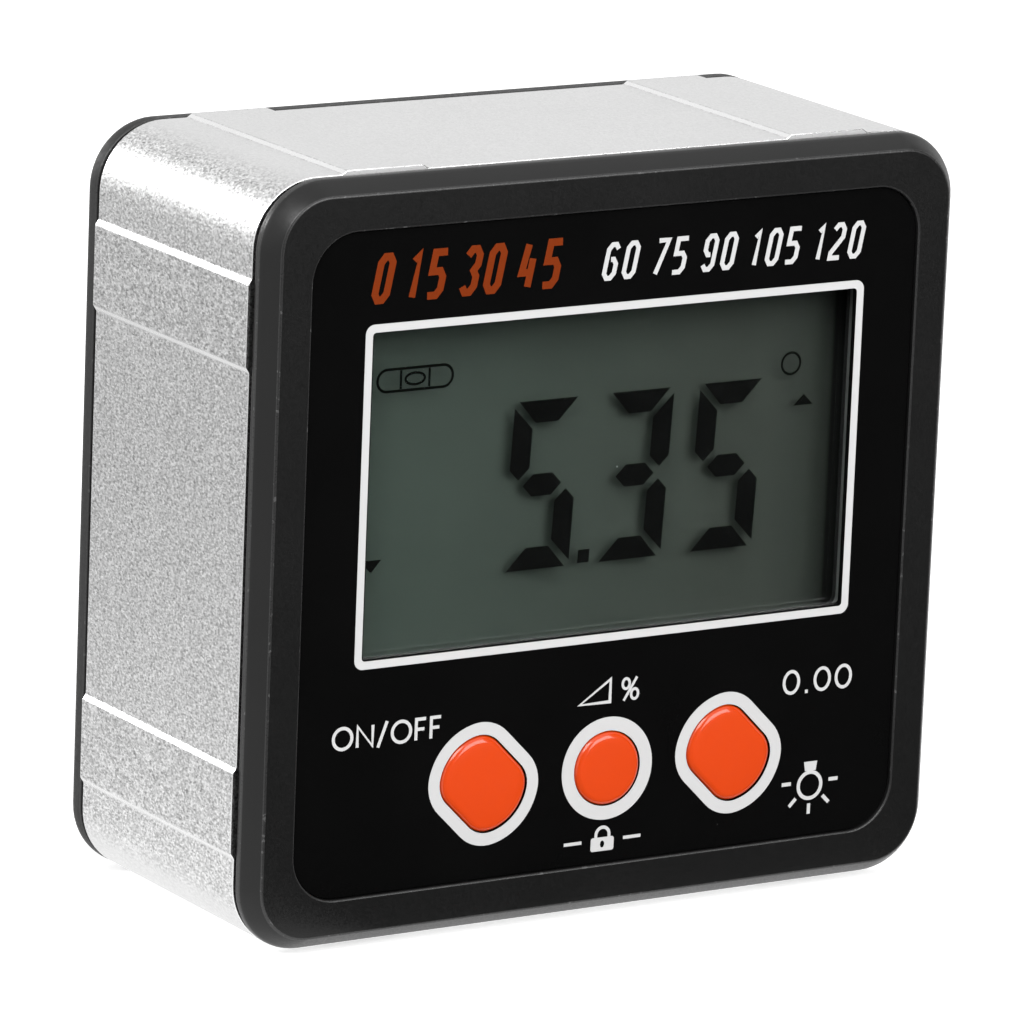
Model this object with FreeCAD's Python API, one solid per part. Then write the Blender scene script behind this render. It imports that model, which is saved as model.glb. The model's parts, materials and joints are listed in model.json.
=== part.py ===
import FreeCAD, Part
import math
import os

# Digital inclinometer: a square angle gauge with a ribbed aluminium ring as its housing,
# a moulded bezel in front and a moulded cover with the battery tray behind.
# Millimetres. X to the right as seen from the front, Y from the front to the back, Z up.
# The origin is under the middle of the case, in the plane of the two base ribs.

# Case outline, shared by the bezel, the rear cover and the housing between its ribs.
# Its width and depth follow from the battery tray and the stack of parts inside.
case_height = 59.4
case_corner = 5.3
bezel_flange = 2.1
cover_flange = 2.05
cover_groove = 0.35
groove_inset = 0.6

# Housing extrusion
frame_wall = 2.2
rib_raise = 0.3
rib_shoulder = 0.45
side_rib_offset = 18.75
side_rib_width = 6.25
top_rib_offset = 19.8
top_rib_width = 6.6

# Magnets pressed into the base
magnet_radius = 5.0
magnet_thickness = 1.5
magnet_spacing = 20.0
magnet_clearance = 0.05

# Joint between the housing and each cover
tongue_length = 3.0
tongue_thickness = 1.2
tongue_clearance = 0.1

# Front bezel
bevel_inset = 1.12
bevel_depth = 1.6
bevel_knee_inset = 0.22
bevel_knee_depth = 1.15
rim_sides = 3.85
rim_ends = 3.9
recess_corner = 3.8
recess_depth = 0.85

# Printed overlay and the display window behind it
overlay_thickness = 0.5
overlay_clearance = 0.1
view_corner = 0.3
view_left_margin = 5.6
view_right_margin = 5.3
title_band = 7.85
button_band = 10.95
button_rise = 7.6
window_thickness = 1.0
window_border = 1.5
window_clearance = 0.1
opening_margin = 0.5

# Display stack, from the bezel back to the circuit board
holder_lip = 0.4
holder_wall = 1.1
holder_clearance = 0.1
glass_ply = 1.1
glass_border = 2.3
glass_ledge = 1.9
backlight_margin = 1.0
strip_margin = 3.0
strip_clearance = 0.1

# Circuit board
board_clearance = 1.0
board_thickness = 1.2
board_notch_clearance = 0.5
board_boss_radius = 1.7
board_boss_inset = 1.8
board_boss_notch_gap = 0.5
board_boss_rise = 1.2
board_screw_radius = 0.8
board_screw_head_radius = 1.5
board_screw_head_height = 1.0
board_screw_grip = 3.0
board_screw_clearance = 0.2

# Components on the back of the board: centre x, height above the middle, width, height, thickness
controller_place = (-9.0, -3.0, 10.0, 10.0, 1.1)
sensor_place = (12.0, 2.0, 4.0, 4.0, 1.45)
crystal_thickness = 3.5
crystal_place = (-9.0, -14.5, 11.0, 4.6, crystal_thickness)
crystal_corner = 2.2
crystal_edge = 0.35
capacitor_size = (1.6, 0.8, 0.8)
capacitor_count = 6
capacitor_pitch = 2.6
capacitor_row = (2.0, -11.0)

# Buttons: two large ones with a pair of flats across the diagonal, and a round one between them
button_x = 0.75
button_pitch = 11.15
button_travel = 0.25
large_button_radius = 3.94
large_button_flat = 3.15
large_button_corner = 2.2
large_button_facing = 45
round_button_radius = 2.97
button_proud = 0.35
button_crown_radius = 42.0
button_edge = 0.45
button_clearance = 0.1
button_flange_width = 0.9
button_flange_thickness = 0.8
button_flange_gap = 0.05
button_boss_radius = 1.5
button_boss_height = 0.75

# Tactile switches
switch_size = 6.0
switch_height = 3.5
switch_corner = 0.6
plunger_radius = 1.7
plunger_rise = 1.0
plunger_depth = 0.55
plunger_end_clearance = 0.2
plunger_clearance = 0.05

# Screws that hold the case together
post_radius = 2.6
post_merge = 0.4
post_gap = 0.1
case_screw_radius = 1.0
case_screw_head_radius = 1.9
case_screw_head_height = 1.3
case_screw_head_edge = 0.35
case_screw_sink = 0.25
case_screw_length = 12.0
case_screw_grip = 3.5
case_screw_clearance = 0.1

# Batteries, two AAA cells side by side
cell_radius = 5.25
cell_length = 43.5
cell_edge = 0.5
nub_radius = 1.9
nub_height = 1.0
cell_gap = 0.4
cell_clearance = 0.3

# Battery tray, moulded with the rear cover
tray_wall = 1.2
tray_margin = 0.6
tray_side_room = 2.4
tray_front_room = 0.75
tray_corner = 1.5
cradle_offset = 13.0
cradle_thickness = 1.2
cradle_height = 2.6

# Battery contacts
contact_thickness = 0.4
contact_half_width = 4.2
contact_dimple_radius = 1.6
contact_dimple_height = 0.5
leaf_thickness = 0.3
leaf_width = 5.0
leaf_span = 7.6
leaf_reach = 4.6
tail_width = 1.5
tail_clearance = 0.1

# Battery door and its sliding hooks
door_thickness = 1.25
door_clearance = 0.1
door_under_gap = 0.05
door_corner = 1.5
door_travel = 3.0
door_rib_offset = 10.0
door_rib_half_length = 8.0
door_rib_thickness = 1.0
door_rib_gap = 0.1
hook_count = 3
hook_pitch = 18.0
hook_start = -20.0
hook_stem = 1.5
hook_foot = 2.0
hook_width = 0.8
hook_foot_thickness = 0.65
hook_clearance = 0.1
grip_count = 6
grip_pitch = 1.6
grip_start = 17.0
grip_half_length = 6.0
grip_radius = 0.5
grip_depth = 0.35

# Rear cover edge
cover_edge = 1.2

# Battery tray, and the case width that it sets
cell_spacing = 2 * cell_radius + cell_gap
cell_run = cell_length + nub_height
tray_half_length = (cell_run + contact_dimple_height + leaf_reach) / 2 + contact_thickness
tray_half_height = cell_spacing / 2 + cell_radius + tray_margin
cell_tip_x = tray_half_length - contact_thickness - contact_dimple_height
case_width = 2 * (tray_half_length + tray_wall + tray_side_room + frame_wall)
door_end = tray_half_length + tray_wall
door_half_height = tray_half_height + tray_wall + hook_width + 3 * hook_clearance

# Housing depth, from the buttons back to the cells
button_stack = button_flange_gap + button_flange_thickness + button_boss_height
switch_stack = button_stack + plunger_rise + switch_height
board_stack = board_thickness + crystal_thickness + tray_front_room
battery_stack = tray_wall + cell_clearance + 2 * cell_radius
frame_depth = switch_stack + board_stack + battery_stack

# Stations along Y, worked out from the front face back
case_depth = bezel_flange + cover_groove + frame_depth + cover_groove + cover_flange
front_y = -case_depth / 2
bezel_back_y = front_y + bezel_flange
frame_front_y = bezel_back_y + cover_groove
frame_back_y = frame_front_y + frame_depth
cover_front_y = frame_back_y + cover_groove
back_y = cover_front_y + cover_flange
recess_floor_y = front_y + recess_depth
skin_back_y = frame_front_y
glass_front_y = skin_back_y + holder_lip
glass_split_y = glass_front_y + glass_ply
glass_back_y = glass_split_y + glass_ply
flange_front_y = skin_back_y + button_flange_gap
flange_back_y = flange_front_y + button_flange_thickness
plunger_front_y = flange_back_y + button_boss_height
switch_front_y = plunger_front_y + plunger_rise
board_front_y = switch_front_y + switch_height
board_back_y = board_front_y + board_thickness
cell_back_y = frame_back_y
cell_y = cell_back_y - cell_radius
tray_floor_y = cell_y - cell_radius - cell_clearance
tray_front_y = tray_floor_y - tray_wall
ledge_back_y = back_y - door_thickness - door_under_gap
screw_head_back_y = back_y - case_screw_sink
screw_seat_y = screw_head_back_y - case_screw_head_height
screw_end_y = screw_seat_y - case_screw_length
post_end_y = screw_end_y + case_screw_grip

# Front panel: the recess, the display view in it and the row of buttons below
middle_z = rib_raise + case_height / 2
recess_width = case_width - 2 * rim_sides
recess_height = case_height - 2 * rim_ends
view_width = recess_width - view_left_margin - view_right_margin
view_height = recess_height - title_band - button_band - button_rise
view_x = (view_left_margin - view_right_margin) / 2
view_z = middle_z + recess_height / 2 - title_band - view_height / 2
button_z = middle_z - recess_height / 2 + button_rise
glass_width = view_width + 2 * glass_border
glass_height = view_height + 2 * glass_ledge

# Tongues, posts and the board inside the housing
inner_width = case_width - 2 * frame_wall
inner_height = case_height - 2 * frame_wall
inner_corner = case_corner - frame_wall
tongue_width = inner_width - 2 * tongue_clearance
tongue_height = inner_height - 2 * tongue_clearance
tongue_corner = inner_corner - tongue_clearance
post_x = tongue_width / 2 - tongue_thickness - post_radius + post_merge
post_z = tongue_height / 2 - tongue_thickness - post_radius + post_merge
board_width = tongue_width - 2 * tongue_thickness - 2 * board_clearance
board_height = tongue_height - 2 * tongue_thickness - 2 * board_clearance
board_notch_x = post_x - post_radius - board_notch_clearance
board_notch_z = post_z - post_radius - board_notch_clearance


def point(x, y, z):
    """Return a point."""
    return FreeCAD.Vector(x, y, z)


def arc_edge(cx, cz, y, radius, start, end):
    """Return an arc in the plane Y = y, from start to end degrees about (cx, cz)."""
    middle = (start + end) / 2
    spots = []
    for angle in (start, middle, end):
        turn = math.radians(angle)
        spots.append(point(cx + radius * math.cos(turn), y, cz + radius * math.sin(turn)))
    return Part.Arc(spots[0], spots[1], spots[2]).toShape()


def rounded_wire(width, height, radius, y, cx=0.0, cz=middle_z):
    """Return a rounded rectangle in the plane Y = y."""
    half_x = width / 2 - radius
    half_z = height / 2 - radius
    edges = []
    for sx, sz, start in ((1, 1, 0), (-1, 1, 90), (-1, -1, 180), (1, -1, 270)):
        edges.append(arc_edge(cx + sx * half_x, cz + sz * half_z, y, radius, start, start + 90))
    sides = []
    for index, edge in enumerate(edges):
        following = edges[(index + 1) % 4]
        sides.append(edge)
        sides.append(Part.makeLine(edge.Vertexes[-1].Point, following.Vertexes[0].Point))
    return Part.Wire(sides)


def rounded_plate(width, height, radius, y0, y1, cx=0.0, cz=middle_z):
    """Return a plate with rounded corners that fills Y from y0 to y1."""
    face = Part.Face(rounded_wire(width, height, radius, y0, cx, cz))
    return face.extrude(point(0, y1 - y0, 0))


def rounded_ring(width, height, radius, thickness, y0, y1):
    """Return a wall that follows a rounded rectangle, with its outside on that outline."""
    outside = rounded_plate(width, height, radius, y0, y1)
    inside = rounded_plate(width - 2 * thickness, height - 2 * thickness, radius - thickness, y0, y1)
    return outside.cut(inside)


def box(x0, x1, y0, y1, z0, z1):
    """Return a box between two corners."""
    return Part.makeBox(x1 - x0, y1 - y0, z1 - z0, point(x0, y0, z0))


def rod(radius, x, z, y0, y1):
    """Return a cylinder along Y."""
    return Part.makeCylinder(radius, y1 - y0, point(x, y0, z), point(0, 1, 0))


def edges_at(solid, y):
    """Return the edges of a solid that lie in the plane Y = y."""
    return [edge for edge in solid.Edges if all(abs(v.Point.y - y) < 1e-6 for v in edge.Vertexes)]


def edges_along(solid, direction):
    """Return the straight edges of a solid that run along a direction."""
    found = []
    for edge in solid.Edges:
        if isinstance(edge.Curve, Part.Line) and abs(abs(edge.Curve.Direction.dot(direction)) - 1) < 1e-6:
            found.append(edge)
    return found


def four_ways(x, z):
    """Return the four mirror images of a place about the middle of the case."""
    return [(sx * x, middle_z + sz * z) for sx in (-1, 1) for sz in (-1, 1)]


def fused(solids):
    """Return several touching solids as one."""
    return solids[0].multiFuse(solids[1:]).removeSplitter()


def ribbed_side(half_length, rib_offset, rib_width):
    """Return one side of the housing as (distance along, height) pairs, with its two raised ribs."""
    pairs = []
    for centre in (-rib_offset, rib_offset):
        near = centre - rib_width / 2
        far = centre + rib_width / 2
        pairs += [(near - rib_shoulder, 0), (near, rib_raise), (far, rib_raise), (far + rib_shoulder, 0)]
    return [(-half_length, 0)] + pairs + [(half_length, 0)]


def housing_outline():
    """Return the outside outline of the housing, with two ribs on each of its four sides."""
    half_x = case_width / 2
    half_z = case_height / 2
    top = ribbed_side(half_x - case_corner, top_rib_offset, top_rib_width)
    side = ribbed_side(half_z - case_corner, side_rib_offset, side_rib_width)
    runs = [
        [point(along, frame_front_y, middle_z - half_z - raised) for along, raised in top],
        [point(half_x + raised, frame_front_y, middle_z + along) for along, raised in side],
        [point(-along, frame_front_y, middle_z + half_z + raised) for along, raised in top],
        [point(-half_x - raised, frame_front_y, middle_z - along) for along, raised in side],
    ]
    corners = [(1, -1, 270), (1, 1, 0), (-1, 1, 90), (-1, -1, 180)]
    edges = []
    for run, (sx, sz, start) in zip(runs, corners):
        edges += Part.makePolygon(run).Edges
        centre_x = sx * (half_x - case_corner)
        centre_z = middle_z + sz * (half_z - case_corner)
        edges.append(arc_edge(centre_x, centre_z, frame_front_y, case_corner, start, start + 90))
    return Part.Wire(edges)


def magnet_places():
    """Return the X places of the base magnets."""
    return [-magnet_spacing / 2, magnet_spacing / 2]


def upright_disc(radius, x, z0, z1):
    """Return a short cylinder along Z in the middle of the case depth."""
    return Part.makeCylinder(radius, z1 - z0, point(x, 0, z0), point(0, 0, 1))


def housing_frame():
    """Return the aluminium ring, cut from a ribbed extrusion, with pockets for the magnets."""
    outside = Part.Face(housing_outline()).extrude(point(0, frame_depth, 0))
    hollow = rounded_plate(inner_width, inner_height, inner_corner, frame_front_y, frame_back_y)
    frame = outside.cut(hollow)
    for x in magnet_places():
        pocket_top = rib_raise + magnet_thickness
        frame = frame.cut(upright_disc(magnet_radius + magnet_clearance, x, 0, pocket_top))
    return frame


def base_magnets():
    """Return the round magnets, level with the housing between its base ribs."""
    return [upright_disc(magnet_radius, x, rib_raise, rib_raise + magnet_thickness) for x in magnet_places()]


def button_places():
    """Return the X places of the power, hold and zero buttons."""
    return [button_x - button_pitch, button_x, button_x + button_pitch]


def large_button_outline(x, y, grown):
    """Return a large button's outline: a circle with two flats across the diagonal and rounded corners."""
    corner = large_button_corner + grown
    rise = large_button_flat - large_button_corner
    run = math.sqrt((large_button_radius - large_button_corner) ** 2 - rise ** 2)
    bend = math.degrees(math.atan2(run, rise))
    edges = []
    for facing in (large_button_facing, large_button_facing + 180):
        turn = math.radians(facing)
        corners = []
        for along, start in ((-run, facing - bend), (run, facing)):
            centre_x = x + rise * math.cos(turn) - along * math.sin(turn)
            centre_z = button_z + rise * math.sin(turn) + along * math.cos(turn)
            corners.append(arc_edge(centre_x, centre_z, y, corner, start, start + bend))
        flat = Part.makeLine(corners[0].Vertexes[-1].Point, corners[1].Vertexes[0].Point)
        bow = arc_edge(x, button_z, y, large_button_radius + grown, facing + bend, facing + 180 - bend)
        edges += [corners[0], flat, corners[1], bow]
    return Part.Wire(edges)


def round_button_outline(x, y, grown):
    """Return the round button's outline."""
    radius = round_button_radius + grown
    return Part.Wire([arc_edge(x, button_z, y, radius, start, start + 180) for start in (0, 180)])


def button_outline(index, y, grown=0.0):
    """Return the outline of one of the three buttons, counted from the left, in the plane Y = y."""
    outline = round_button_outline if index == 1 else large_button_outline
    return outline(button_places()[index], y, grown)


def button_solid(index, y0, y1, grown=0.0):
    """Return the outline of one of the three buttons as a solid."""
    return Part.Face(button_outline(index, y0, grown)).extrude(point(0, y1 - y0, 0))


def button_cap(index):
    """Return a button: a crowned cap, a flange that keeps it in the case and a boss on the switch."""
    x = button_places()[index]
    face_y = recess_floor_y - overlay_thickness - button_proud
    crown_drop = (large_button_radius - button_edge) ** 2 / (2 * button_crown_radius)
    rim = [(0, button_edge), (crown_drop, button_edge)]
    for turn in (45, 90):
        depth = button_edge * (1 - math.cos(math.radians(turn)))
        inset = button_edge * (1 - math.sin(math.radians(turn)))
        rim.append((crown_drop + depth, inset))
    sections = [button_outline(index, face_y + depth, -inset) for depth, inset in rim]
    sections.append(button_outline(index, flange_front_y, 0))
    blank = Part.makeLoft(sections, True, True)
    crown = Part.makeSphere(button_crown_radius, point(x, face_y + button_crown_radius, button_z))
    cap = blank.common(crown)
    flange = button_solid(index, flange_front_y, flange_back_y, button_flange_width)
    boss = rod(button_boss_radius, x, button_z, flange_back_y, plunger_front_y)
    return fused([cap, flange, boss])


def front_skin():
    """Return the bezel's outer plate with its bevelled front edge."""
    sections = []
    bevel = [(0, bevel_inset), (bevel_knee_depth, bevel_knee_inset), (bevel_depth, 0), (bezel_flange, 0)]
    for depth, inset in bevel:
        width = case_width - 2 * inset
        height = case_height - 2 * inset
        sections.append(rounded_wire(width, height, case_corner - inset, front_y + depth))
    return Part.makeLoft(sections, True, True)


def cover_tongue(y0, y1):
    """Return the wall of a cover that slips inside the housing."""
    return rounded_ring(tongue_width, tongue_height, tongue_corner, tongue_thickness, y0, y1)


def cover_seat(y0, y1):
    """Return the stepped plate of a cover that rests on the end of the housing."""
    step = 2 * groove_inset
    return rounded_plate(case_width - step, case_height - step, case_corner - groove_inset, y0, y1)


def window_plate(grown, y0, y1):
    """Return a plate in line with the display view, larger by grown on every side."""
    width = view_width + 2 * grown
    height = view_height + 2 * grown
    return rounded_plate(width, height, view_corner + grown, y0, y1, view_x, view_z)


def board_bosses():
    """Return the places of the four bosses that carry the circuit board."""
    upper = (board_notch_x - board_boss_notch_gap - board_boss_radius,
             middle_z + board_height / 2 - board_boss_inset)
    lower = (board_width / 2 - board_boss_inset, button_z + board_boss_rise)
    return [(sx * x, z) for x, z in (upper, lower) for sx in (-1, 1)]


def front_bezel():
    """Return the front moulding with its recess, window seat, button wells, tongue and posts."""
    parts = [
        front_skin(),
        cover_seat(bezel_back_y, skin_back_y),
        cover_tongue(skin_back_y, frame_front_y + tongue_length),
    ]
    parts += [rod(post_radius, x, z, skin_back_y, post_end_y) for x, z in four_ways(post_x, post_z)]
    parts += [rod(board_boss_radius, x, z, skin_back_y, board_front_y) for x, z in board_bosses()]
    bezel = fused(parts)
    bezel = bezel.cut(rounded_plate(recess_width, recess_height, recess_corner, front_y, recess_floor_y))
    bezel = bezel.cut(window_plate(window_border, recess_floor_y, recess_floor_y + window_thickness))
    bezel = bezel.cut(window_plate(opening_margin, recess_floor_y, skin_back_y))
    for index in range(3):
        bezel = bezel.cut(button_solid(index, recess_floor_y, skin_back_y, button_clearance))
    for x, z in four_ways(post_x, post_z):
        bezel = bezel.cut(rod(case_screw_radius, x, z, screw_end_y, post_end_y))
    for x, z in board_bosses():
        bezel = bezel.cut(rod(board_screw_radius, x, z, board_back_y - board_screw_grip, board_front_y))
    return bezel


def front_overlay():
    """Return the printed sheet in the bezel's recess, open at the display and at the buttons."""
    shrink = 2 * overlay_clearance
    sheet = rounded_plate(
        recess_width - shrink,
        recess_height - shrink,
        recess_corner - overlay_clearance,
        recess_floor_y - overlay_thickness,
        recess_floor_y,
    )
    sheet = sheet.cut(window_plate(0, recess_floor_y - overlay_thickness, recess_floor_y))
    for index in range(3):
        hole = button_solid(index, recess_floor_y - overlay_thickness, recess_floor_y, button_clearance)
        sheet = sheet.cut(hole)
    return sheet


def display_window():
    """Return the clear lens that sits in the bezel behind the overlay."""
    return window_plate(window_border - window_clearance, recess_floor_y, recess_floor_y + window_thickness)


def display_plate(width, height, y0, y1):
    """Return a square-cornered plate in line with the display."""
    half_x = width / 2
    half_z = height / 2
    return box(view_x - half_x, view_x + half_x, y0, y1, view_z - half_z, view_z + half_z)


def display_holder():
    """Return the frame that keeps the display glass against the bezel, with a lip in front."""
    pocket_width = glass_width + 2 * holder_clearance
    pocket_height = glass_height + 2 * holder_clearance
    outer_width = pocket_width + 2 * holder_wall
    outer_height = pocket_height + 2 * holder_wall
    outside = rounded_plate(
        outer_width, outer_height, holder_wall, skin_back_y, board_front_y, view_x, view_z
    )
    holder = outside.cut(display_plate(pocket_width, pocket_height, glass_front_y, board_front_y))
    return holder.cut(window_plate(opening_margin, skin_back_y, glass_front_y))


def display_glass():
    """Return the liquid crystal cell: a full front ply and a shorter back ply that leaves two ledges."""
    front = display_plate(glass_width, glass_height, glass_front_y, glass_split_y)
    back = display_plate(glass_width, glass_height - 2 * glass_ledge, glass_split_y, glass_back_y)
    return fused([front, back])


def display_backlight():
    """Return the light block between the display glass and the board."""
    width = glass_width - 2 * backlight_margin
    height = glass_height - 2 * glass_ledge
    block = display_plate(width, height, glass_back_y, board_front_y)
    return block.makeChamfer(backlight_margin / 2, edges_at(block, board_front_y))


def zebra_strips():
    """Return the two rubber connectors that join the ledges of the glass to the board."""
    strips = []
    half = glass_width / 2 - strip_margin
    for side in (-1, 1):
        outer = glass_height / 2 - strip_clearance
        inner = glass_height / 2 - glass_ledge + strip_clearance
        low = view_z + min(side * inner, side * outer)
        high = view_z + max(side * inner, side * outer)
        strips.append(box(view_x - half, view_x + half, glass_split_y, board_front_y, low, high))
    return strips


def circuit_board():
    """Return the board, notched round the posts and drilled for its screws and the battery tails."""
    half_x = board_width / 2
    half_z = board_height / 2
    board = box(-half_x, half_x, board_front_y, board_back_y, middle_z - half_z, middle_z + half_z)
    for sx in (-1, 1):
        for sz in (-1, 1):
            low_x, high_x = sorted((sx * board_notch_x, sx * board_width))
            low_z, high_z = sorted((middle_z + sz * board_notch_z, middle_z + sz * board_height))
            board = board.cut(box(low_x, high_x, board_front_y, board_back_y, low_z, high_z))
    hole_radius = board_screw_radius + board_screw_clearance
    for x, z in board_bosses():
        board = board.cut(rod(hole_radius, x, z, board_front_y, board_back_y))
    return board


def board_screws():
    """Return the four screws that hold the board on its bosses."""
    screws = []
    for x, z in board_bosses():
        head = rod(board_screw_head_radius, x, z, board_back_y, board_back_y + board_screw_head_height)
        shank = rod(board_screw_radius, x, z, board_back_y - board_screw_grip, board_back_y)
        screws.append(fused([head, shank]))
    return screws


def board_component(place):
    """Return a rectangular component on the back of the board."""
    x, above, width, height, thickness = place
    z = middle_z + above
    back = board_back_y + thickness
    return box(x - width / 2, x + width / 2, board_back_y, back, z - height / 2, z + height / 2)


def crystal():
    """Return the crystal's can, with round ends."""
    x, above, width, height, thickness = crystal_place
    back = board_back_y + thickness
    can = rounded_plate(width, height, crystal_corner, board_back_y, back, x, middle_z + above)
    return can.makeChamfer(crystal_edge, edges_at(can, back))


def chip_capacitors():
    """Return the row of small capacitors beside the controller."""
    row_x, row_above = capacitor_row
    width, height, thickness = capacitor_size
    row = []
    for index in range(capacitor_count):
        place = (row_x + index * capacitor_pitch, row_above, width, height, thickness)
        row.append(board_component(place))
    return row


def switch_bodies():
    """Return the three tactile switches, each with a bore for its plunger."""
    bodies = []
    bore_radius = plunger_radius + plunger_clearance
    bore_end = switch_front_y + plunger_depth + button_travel + plunger_end_clearance
    for x in button_places():
        body = rounded_plate(
            switch_size, switch_size, switch_corner, switch_front_y, board_front_y, x, button_z
        )
        bore = rod(bore_radius, x, button_z, switch_front_y, bore_end)
        bodies.append(body.cut(bore))
    return bodies


def switch_plunger(index):
    """Return the plunger that a button's boss presses."""
    end = switch_front_y + plunger_depth
    return rod(plunger_radius, button_places()[index], button_z, plunger_front_y, end)


def cell_places():
    """Return the Z of each cell and the side that its nub points to."""
    return [(middle_z + cell_spacing / 2, 1), (middle_z - cell_spacing / 2, -1)]


def battery(index):
    """Return a cell with its nub, lying along X."""
    z, side = cell_places()[index]
    direction = point(side, 0, 0)
    start = side * (cell_tip_x - nub_height - cell_length)
    can = Part.makeCylinder(cell_radius, cell_length, point(start, cell_y, z), direction)
    can = can.makeChamfer(cell_edge, [edge for edge in can.Edges if isinstance(edge.Curve, Part.Circle)])
    nub_start = side * (cell_tip_x - nub_height)
    nub = Part.makeCylinder(nub_radius, nub_height, point(nub_start, cell_y, z), direction)
    return fused([can, nub])


def contact_plate(side, z0, z1):
    """Return a flat contact against an end wall of the tray, on the side -1 or 1."""
    low, high = sorted((side * tray_half_length, side * (tray_half_length - contact_thickness)))
    plate = box(low, high, cell_y - contact_half_width, cell_y + contact_half_width, z0, z1)
    return plate.makeFillet(contact_thickness, edges_along(plate, point(1, 0, 0)))


def contact_dimple(side, z):
    """Return the pressed dimple that touches a cell's nub."""
    start = side * (tray_half_length - contact_thickness)
    height = contact_dimple_height
    return Part.makeCone(contact_dimple_radius, contact_dimple_radius / 2, height, point(start, cell_y, z),
                         point(-side, 0, 0))


def contact_leaf(side, z):
    """Return the bowed leaf spring that presses on a cell's flat end."""
    root = tray_half_length - contact_thickness
    half = leaf_span / 2
    outer_radius = (half ** 2 + leaf_reach ** 2) / (2 * leaf_reach)
    centre_x = side * (root - leaf_reach + outer_radius)
    start_z = z - leaf_width / 2
    disc = Part.makeCylinder(outer_radius, leaf_width, point(centre_x, cell_y, start_z))
    hollow = Part.makeCylinder(outer_radius - leaf_thickness, leaf_width, point(centre_x, cell_y, start_z))
    low, high = sorted((side * (root - leaf_reach), side * root))
    keep = box(low, high, cell_y - half, cell_y + half, start_z, start_z + leaf_width)
    return disc.cut(hollow).common(keep)


def bridge_contact():
    """Return the left contact that joins the two cells in series."""
    upper, lower = cell_places()[0][0], cell_places()[1][0]
    plate = contact_plate(-1, lower - contact_half_width, upper + contact_half_width)
    return fused([plate, contact_leaf(-1, upper), contact_dimple(-1, lower)])


def terminal_tail(z):
    """Return the solder tail that runs from a right-hand contact through the tray to the board."""
    outer = tray_half_length
    half = tail_width / 2
    return box(outer - contact_thickness, outer, board_back_y, cell_y, z - half, z + half)


def positive_terminal():
    """Return the right contact at the upper cell's nub."""
    z = cell_places()[0][0]
    plate = contact_plate(1, z - contact_half_width, z + contact_half_width)
    return fused([plate, contact_dimple(1, z), terminal_tail(z)])


def negative_terminal():
    """Return the right contact with the leaf spring at the lower cell's flat end."""
    z = cell_places()[1][0]
    plate = contact_plate(1, z - contact_half_width, z + contact_half_width)
    return fused([plate, contact_leaf(1, z), terminal_tail(z)])


def cover_plate():
    """Return the rear cover's outer plate, rounded along its back edge."""
    plate = rounded_plate(case_width, case_height, case_corner, cover_front_y, back_y)
    return plate.makeFillet(cover_edge, edges_at(plate, back_y))


def battery_tray():
    """Return the tray that carries the cells, with its cradles."""
    outer_width = 2 * (tray_half_length + tray_wall)
    outer_height = 2 * (tray_half_height + tray_wall)
    return rounded_plate(outer_width, outer_height, tray_corner, tray_front_y, frame_back_y)


def tray_hollow():
    """Return the space of the tray, less the saddles under the cells."""
    hollow = box(-tray_half_length, tray_half_length, tray_floor_y, back_y,
                 middle_z - tray_half_height, middle_z + tray_half_height)
    for x in (-cradle_offset, cradle_offset):
        saddle = box(x - cradle_thickness / 2, x + cradle_thickness / 2, tray_floor_y,
                     tray_floor_y + cradle_height, middle_z - tray_half_height, middle_z + tray_half_height)
        for z, _ in cell_places():
            bed = Part.makeCylinder(cell_radius + cell_clearance, cradle_thickness,
                                    point(x - cradle_thickness / 2, cell_y, z), point(1, 0, 0))
            saddle = saddle.cut(bed)
        hollow = hollow.cut(saddle)
    return hollow


def hook_places():
    """Return each hook's start along X and its side, below or above the cells."""
    starts = [hook_start + index * hook_pitch for index in range(hook_count)]
    return [(x, side) for x in starts for side in (-1, 1)]


def hook_span(side, grown):
    """Return the lowest and highest Z of the hooks on one side, wider by grown."""
    outer = door_half_height - hook_clearance
    inner = outer - hook_width
    low, high = sorted((middle_z + side * inner, middle_z + side * outer))
    return low - grown, high + grown


def hook_slots():
    """Return the slots in the door's ledge, long enough for each hook to slide free."""
    slots = []
    for x, side in hook_places():
        low, high = hook_span(side, hook_clearance)
        end = x + hook_stem + door_travel + hook_clearance
        slots.append(box(x - hook_clearance, end, frame_back_y, ledge_back_y, low, high))
    return slots


def door_recess():
    """Return the shallow seat of the door, open towards the right side of the case."""
    half = door_half_height + door_clearance
    left = -door_end - door_clearance
    seat = box(left, case_width, ledge_back_y, back_y, middle_z - half, middle_z + half)
    inner_corners = [edge for edge in edges_along(seat, point(0, 1, 0)) if edge.Vertexes[0].Point.x < 0]
    return seat.makeFillet(door_corner, inner_corners)


def rear_cover():
    """Return the rear moulding: battery tray, door seat with hook slots, tongue and screw posts."""
    post_start = post_end_y + post_gap
    parts = [
        cover_plate(),
        cover_seat(frame_back_y, cover_front_y),
        cover_tongue(frame_back_y - tongue_length, frame_back_y),
        battery_tray(),
    ]
    parts += [rod(post_radius, x, z, post_start, frame_back_y) for x, z in four_ways(post_x, post_z)]
    cover = fused(parts)
    cover = cover.cut(tray_hollow()).cut(door_recess())
    for slot in hook_slots():
        cover = cover.cut(slot)
    for x, z in four_ways(post_x, post_z):
        cover = cover.cut(rod(case_screw_radius + case_screw_clearance, x, z, post_start, screw_seat_y))
        cover = cover.cut(rod(case_screw_head_radius + case_screw_clearance, x, z, screw_seat_y, back_y))
    for z, _ in cell_places():
        half = tail_width / 2 + tail_clearance
        left = tray_half_length - contact_thickness - tail_clearance
        cover = cover.cut(box(left, tray_half_length, tray_front_y, tray_floor_y, z - half, z + half))
    return cover


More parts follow.
